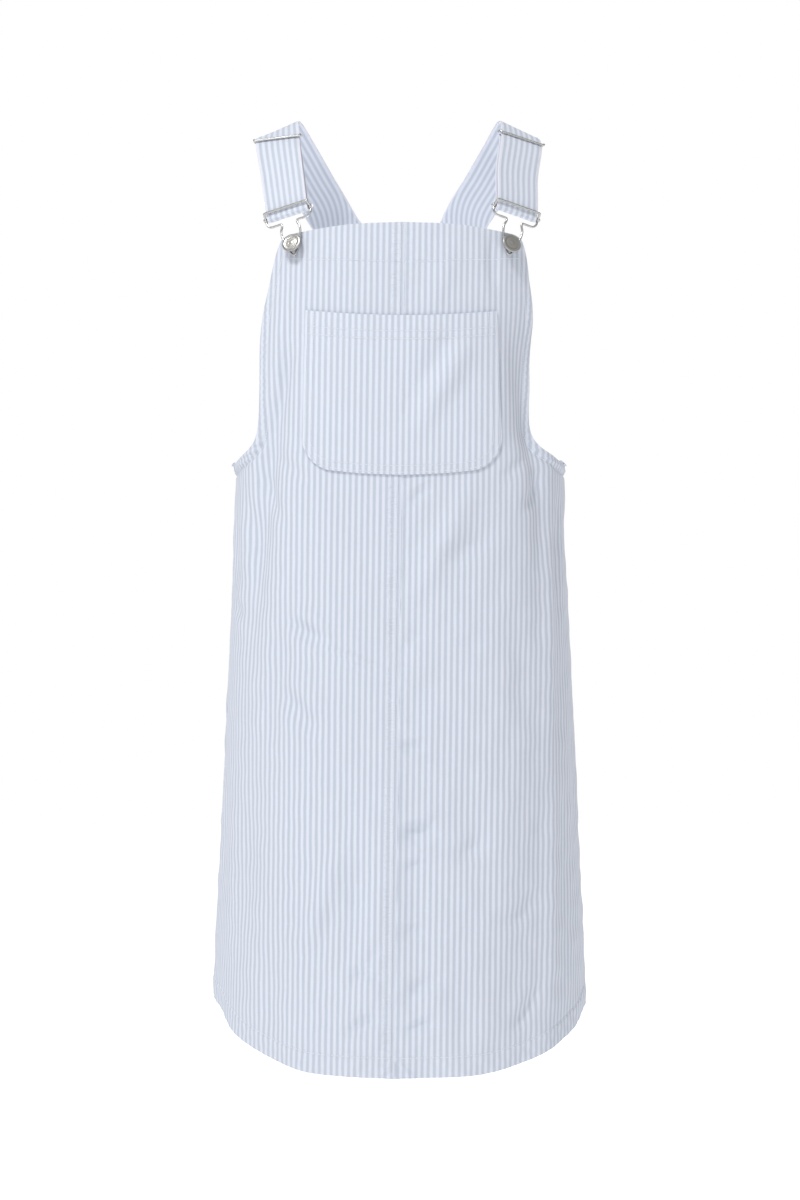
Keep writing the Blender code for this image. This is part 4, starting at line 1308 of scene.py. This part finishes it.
def slide_ring(side):
    line = StrapLine(side)
    middle = line.slider_at()
    half = line.sample(middle)[4] / 2 + GAP + WIRE
    out = STRAP_CLOTH / 2 + 2 * GAP + WIRE
    corner = ((0.0, 1.0), (0.62, 0.92), (0.92, 0.62), (1.0, 0.0))
    up = [(half - SLIDER_CORNER * (1 - grow), SLIDER_HALF_HEIGHT * rise) for grow, rise in corner]
    points = [(0.0, SLIDER_HALF_HEIGHT), (half * 0.55, SLIDER_HALF_HEIGHT)] + up
    points += [(u, -v) for u, v in points[:1:-1][1:]]
    points += [(half * 0.55, -SLIDER_HALF_HEIGHT), (0.0, -SLIDER_HALF_HEIGHT)]
    points += [(-u, v) for u, v in points[-2:0:-1]]
    ring = []
    for u, v in points:
        place, _, across, normal, _ = line.sample(middle - v)
        share = min(max(v / SLIDER_HALF_HEIGHT * 1.25, -1), 1)
        ring.append(place + across * u - normal * out * math.sin(share * math.pi / 2))
    name = sided("slider", side)
    return wire_ring(name + "_wire", ring, WIRE, 6, metal_finish()), name


def buckle_pieces(side):
    name = sided("buckle", side)
    axes = buckle_axes(side)
    half = list(BUCKLE_WIRE)
    ring = half + [BUCKLE_TIP] + [WirePoint(-p.across, p.up, p.out) for p in half[:0:-1]]
    metal = metal_finish()
    wire = wire_ring(name + "_wire", [axes.place(*p) for p in ring], WIRE, 6, metal)
    profile = list(BAR_ROD) + [Turned(p.radius, -p.height) for p in BAR_ROD[::-1]]
    bar = turned(name + "_bar", profile, BAR_TOP, axes.origin, axes.across, 20, metal)
    return wire, bar, name


def button(side):
    name = sided("button", side)
    foot = button_foot(side)[0]
    axes = buckle_axes(side)
    axis = axes.out + axes.up * math.tan(math.radians(BUTTON_NOD))
    cap = made("ringed_cap", lambda: brushed_cap(looks()))
    return turned(name + "_cap", BUTTON_CAP, BUTTON_TOP, foot, axis, 48, cap), name


# ---------------------------------------------------------------- stitch rows on the panels
def row_on(panel, run, z):
    return panel.on(run, z, THREAD_LIFT), panel.normal(run, z)


def panel_rows(panel):
    """All the topstitching on one half panel."""
    rows = []
    share = np.linspace(0.004, 0.985, 150)
    low = HEM_Z(share) + sizes().hem_depth / MM
    rows.append(row_on(panel, share * panel.form.length_at(low), low))
    keep = np.linspace(0.03, 0.985, 150)
    edge = np.stack([panel.edge_run(keep), panel.edge_z(keep)], axis=1)
    along = unit(np.gradient(edge, axis=0))
    inward = np.stack([-along[:, 1], along[:, 0]], axis=1)
    inward *= 1 if inward[len(keep) // 2, 0] < 0 else -1
    line = edge + inward * (sizes().armhole_hem / MM)
    below = line[:, 1] < panel.top(0.9) - (3 if panel.face == "front" else 1)
    rows.append(row_on(panel, line[below, 0], line[below, 1]))
    run = np.linspace(0.5, 150, 150)
    share = np.clip(run / panel.edge_run(1.0), 0, 1)
    depth = sizes().bib_hem_depth / MM - 15 * share**2 if panel.face == "front" else BACK_BIB_HEM - 1
    top = panel.top(share) - depth
    inside = (panel.from_edge(run, top) > sizes().armhole_hem / MM + 0.5) & (
        run < np.interp(top, panel.edge[:, 1], panel.edge[:, 0])
    )
    rows.append(row_on(panel, run[inside], top[inside]))
    if panel.name == "front_left":
        z = np.linspace(-101, -907, 400)
        for run in (4.0, 11.0):
            rows.append(row_on(panel, np.full(400, run), z))
    return rows


def pocket_rows():
    """Two rows under the pocket's mouth, and one inside its other edges."""
    rows = []

    def place(across, down):
        run, z = pocket_place(across, down)
        return on_front(run, z, pocket_out(run, z, down) + THREAD_LIFT)

    def row(across, down):
        points = place(across, down)
        side = place(np.clip(across + 0.004, 0, 1), down) - place(np.clip(across - 0.004, 0, 1), down)
        up = place(across, np.clip(down - 0.004, 0, 1)) - place(across, np.clip(down + 0.004, 0, 1))
        normals = unit(np.cross(side, up))
        return points, np.where(normals[:, 1:2] < 0, normals, -normals)

    for below in POCKET_MOUTH_ROWS:
        rows.append(row(np.linspace(0.015, 0.985, 120), np.full(120, below / POCKET_HEIGHT)))
    for inset in POCKET_EDGE_ROWS:
        down = np.linspace(0.0, 1 - inset / POCKET_HEIGHT, 90)
        into_corner = down * POCKET_HEIGHT - (POCKET_HEIGHT - POCKET_CORNER)
        radius = POCKET_CORNER - inset
        cut = radius * (1 - np.sqrt(1 - np.clip(into_corner / radius, 0, 0.999) ** 2)) + inset
        own_cut = POCKET_CORNER * (1 - np.sqrt(1 - np.clip(into_corner / POCKET_CORNER, 0, 0.995) ** 2))
        width = pocket_place(np.ones(90), down)[0] - pocket_place(np.zeros(90), down)[0]
        across = (cut - own_cut) / width
        rows.append(row(across, down))
        rows.append(row(1 - across, down))
        ends = across[-1]
        rows.append(row(np.linspace(ends, 1 - ends, 110), np.full(110, 1 - inset / POCKET_HEIGHT)))
    return rows


# ---------------------------------------------------------------- operators
class PieceOperator(bpy.types.Operator):
    """Shared steps of the operators that make the dress."""

    def finish_piece(self, piece, slot, *replaced):
        """Puts a piece on the dress, in the place of the CAD nodes named."""
        if piece is None or not piece.data.polygons:
            raise RuntimeError(self.bl_label + " made no faces")
        if replaced:
            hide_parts(*replaced)
        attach(piece, "root")
        return piece


class DRESS_OT_fronts(PieceOperator):
    """Draws both front pieces, from the bib to the hem"""

    bl_idname = "dress.fronts"
    bl_label = "Fronts"

    def execute(self, context):
        for side in (-1, 1):
            piece = self.finish_piece(front_half(side), "striped_cotton", sided("front", side))
        return {"FINISHED"}


class DRESS_OT_back(PieceOperator):
    """Draws the back in one piece, from its narrow bib to the hem"""

    bl_idname = "dress.back"
    bl_label = "Back"

    def execute(self, context):
        piece = self.finish_piece(whole_back(), "striped_cotton", "back")
        return {"FINISHED"}


class DRESS_OT_pocket(PieceOperator):
    """Draws the patch pocket on the bib"""

    bl_idname = "dress.pocket"
    bl_label = "Patch pocket"

    def execute(self, context):
        piece = self.finish_piece(pocket(), "striped_cotton", "bib_pocket")
        return {"FINISHED"}


class DRESS_OT_straps(PieceOperator):
    """Draws both shoulder straps, each round the bar of its buckle"""

    bl_idname = "dress.straps"
    bl_label = "Shoulder straps"

    def execute(self, context):
        for side in (-1, 1):
            piece = self.finish_piece(strap(side), "strap_cotton", sided("strap", side))
        return {"FINISHED"}


class DRESS_OT_metal(PieceOperator):
    """Draws the buckles, slide rings and buttons"""

    bl_idname = "dress.metal"
    bl_label = "Buckles and buttons"

    def execute(self, context):
        for side in (-1, 1):
            ring, name = slide_ring(side)
            self.finish_piece(ring, "nickel_wire", name)
            wire, bar, name = buckle_pieces(side)
            self.finish_piece(wire, "nickel_wire", name)
            self.finish_piece(bar, "nickel_wire")
            cap, name = button(side)
            self.finish_piece(cap, "brushed_cap", name)
            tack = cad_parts[sided("tack", side)]
            tack.data.materials.clear()
            tack.data.materials.append(metal_finish())
        return {"FINISHED"}


class DRESS_OT_stitching(PieceOperator):
    """Sews the topstitching of the panels, the pocket and the straps"""

    bl_idname = "dress.stitching"
    bl_label = "Topstitching"

    def execute(self, context):
        sewn = made("topstitch_thread", lambda: thread(looks()))
        pitch = sizes().stitch_pitch / MM
        for panel in PANELS.values():
            piece = stitches("stitches_" + panel.name, panel_rows(panel), sewn, pitch)
            self.finish_piece(piece, "striped_cotton")
        self.finish_piece(stitches("stitches_pocket", pocket_rows(), sewn, pitch), "striped_cotton")
        for side in (-1, 1):
            piece = stitches(sided("stitches_strap", side), strap_rows(side), sewn, pitch)
            self.finish_piece(piece, "strap_cotton")
        return {"FINISHED"}


def studio_lamp(name, place, target, size, power):
    light = bpy.data.lights.new(name, "AREA")
    light.shape, light.size, light.energy = "DISK", size, power
    lamp = bpy.data.objects.new(name, light)
    lamp.location = place
    aim = np.array(target) - np.array(place)
    tilt = math.acos(-aim[2] / np.linalg.norm(aim))
    lamp.rotation_euler = (tilt, 0, math.atan2(aim[1], aim[0]) - math.pi / 2)
    bpy.context.scene.collection.objects.link(lamp)


class DRESS_OT_stage(bpy.types.Operator):
    """Sets the pale floor, the soft studio light and the camera"""

    bl_idname = "dress.stage"
    bl_label = "Stage"

    def execute(self, context):
        scene = context.scene
        floor_finish = Finish("studio_floor", Roughness=0.9, Specular_IOR_Level=0.1)
        floor_finish.shader.inputs["Base Color"].default_value = (*looks().floor, 1)
        floor_finish.shader.inputs["Emission Color"].default_value = (1.0, 1.0, 1.0, 1.0)
        floor_finish.shader.inputs["Emission Strength"].default_value = 0.6
        mesh = bpy.data.meshes.new("studio_floor")
        turn = [2 * math.pi * k / 64 for k in range(64)]
        rim = [(FLOOR_RADIUS * math.cos(t), FLOOR_RADIUS * math.sin(t), FLOOR_Z) for t in turn]
        mesh.from_pydata(rim, [], [tuple(range(64))])
        mesh.materials.append(floor_finish.material)
        floor = bpy.data.objects.new("studio_floor", mesh)
        scene.collection.objects.link(floor)
        scene.world = studio_world()
        for lamp in LAMPS:
            studio_lamp(*lamp)
        camera = bpy.data.cameras.new("camera")
        camera.sensor_fit = "VERTICAL"
        camera.sensor_height = SENSOR_HEIGHT
        camera.lens = SENSOR_HEIGHT * FOCAL_PIXELS / PHOTO_HEIGHT_PIXELS
        seat = bpy.data.objects.new("camera", camera)
        seat.location = CAMERA_PLACE
        seat.rotation_euler = (math.pi / 2, 0, 0)
        scene.collection.objects.link(seat)
        scene.camera = seat
        scene.view_settings.view_transform = "Standard"
        return {"FINISHED"}


class DRESS_PT_panel(bpy.types.Panel):
    """Lists the steps that make the dress."""

    bl_label = "Striped Overall Dress"
    bl_idname = "DRESS_PT_panel"
    bl_space_type = "VIEW_3D"
    bl_region_type = "UI"
    bl_category = "Dress"

    def draw(self, context):
        for group in (context.scene.dress_looks, context.scene.dress_sizes):
            for name in group.__annotations__:
                self.layout.prop(group, name)
        for step in STEPS:
            self.layout.operator(step.bl_idname)


STEPS = (
    DRESS_OT_stage,
    DRESS_OT_fronts,
    DRESS_OT_back,
    DRESS_OT_pocket,
    DRESS_OT_straps,
    DRESS_OT_metal,
    DRESS_OT_stitching,
)
CLASSES = (DressLooks, DressSizes, *STEPS, DRESS_PT_panel)


def register():
    for cls in CLASSES:
        bpy.utils.register_class(cls)
    bpy.types.Scene.dress_looks = PointerProperty(type=DressLooks)
    bpy.types.Scene.dress_sizes = PointerProperty(type=DressSizes)


def unregister():
    del bpy.types.Scene.dress_sizes
    del bpy.types.Scene.dress_looks
    for cls in reversed(CLASSES):
        bpy.utils.unregister_class(cls)


def main():
    register()
    for step in STEPS:
        group, name = step.bl_idname.split(".")
        getattr(getattr(bpy.ops, group), name)()


if __name__ == "__main__":
    main()
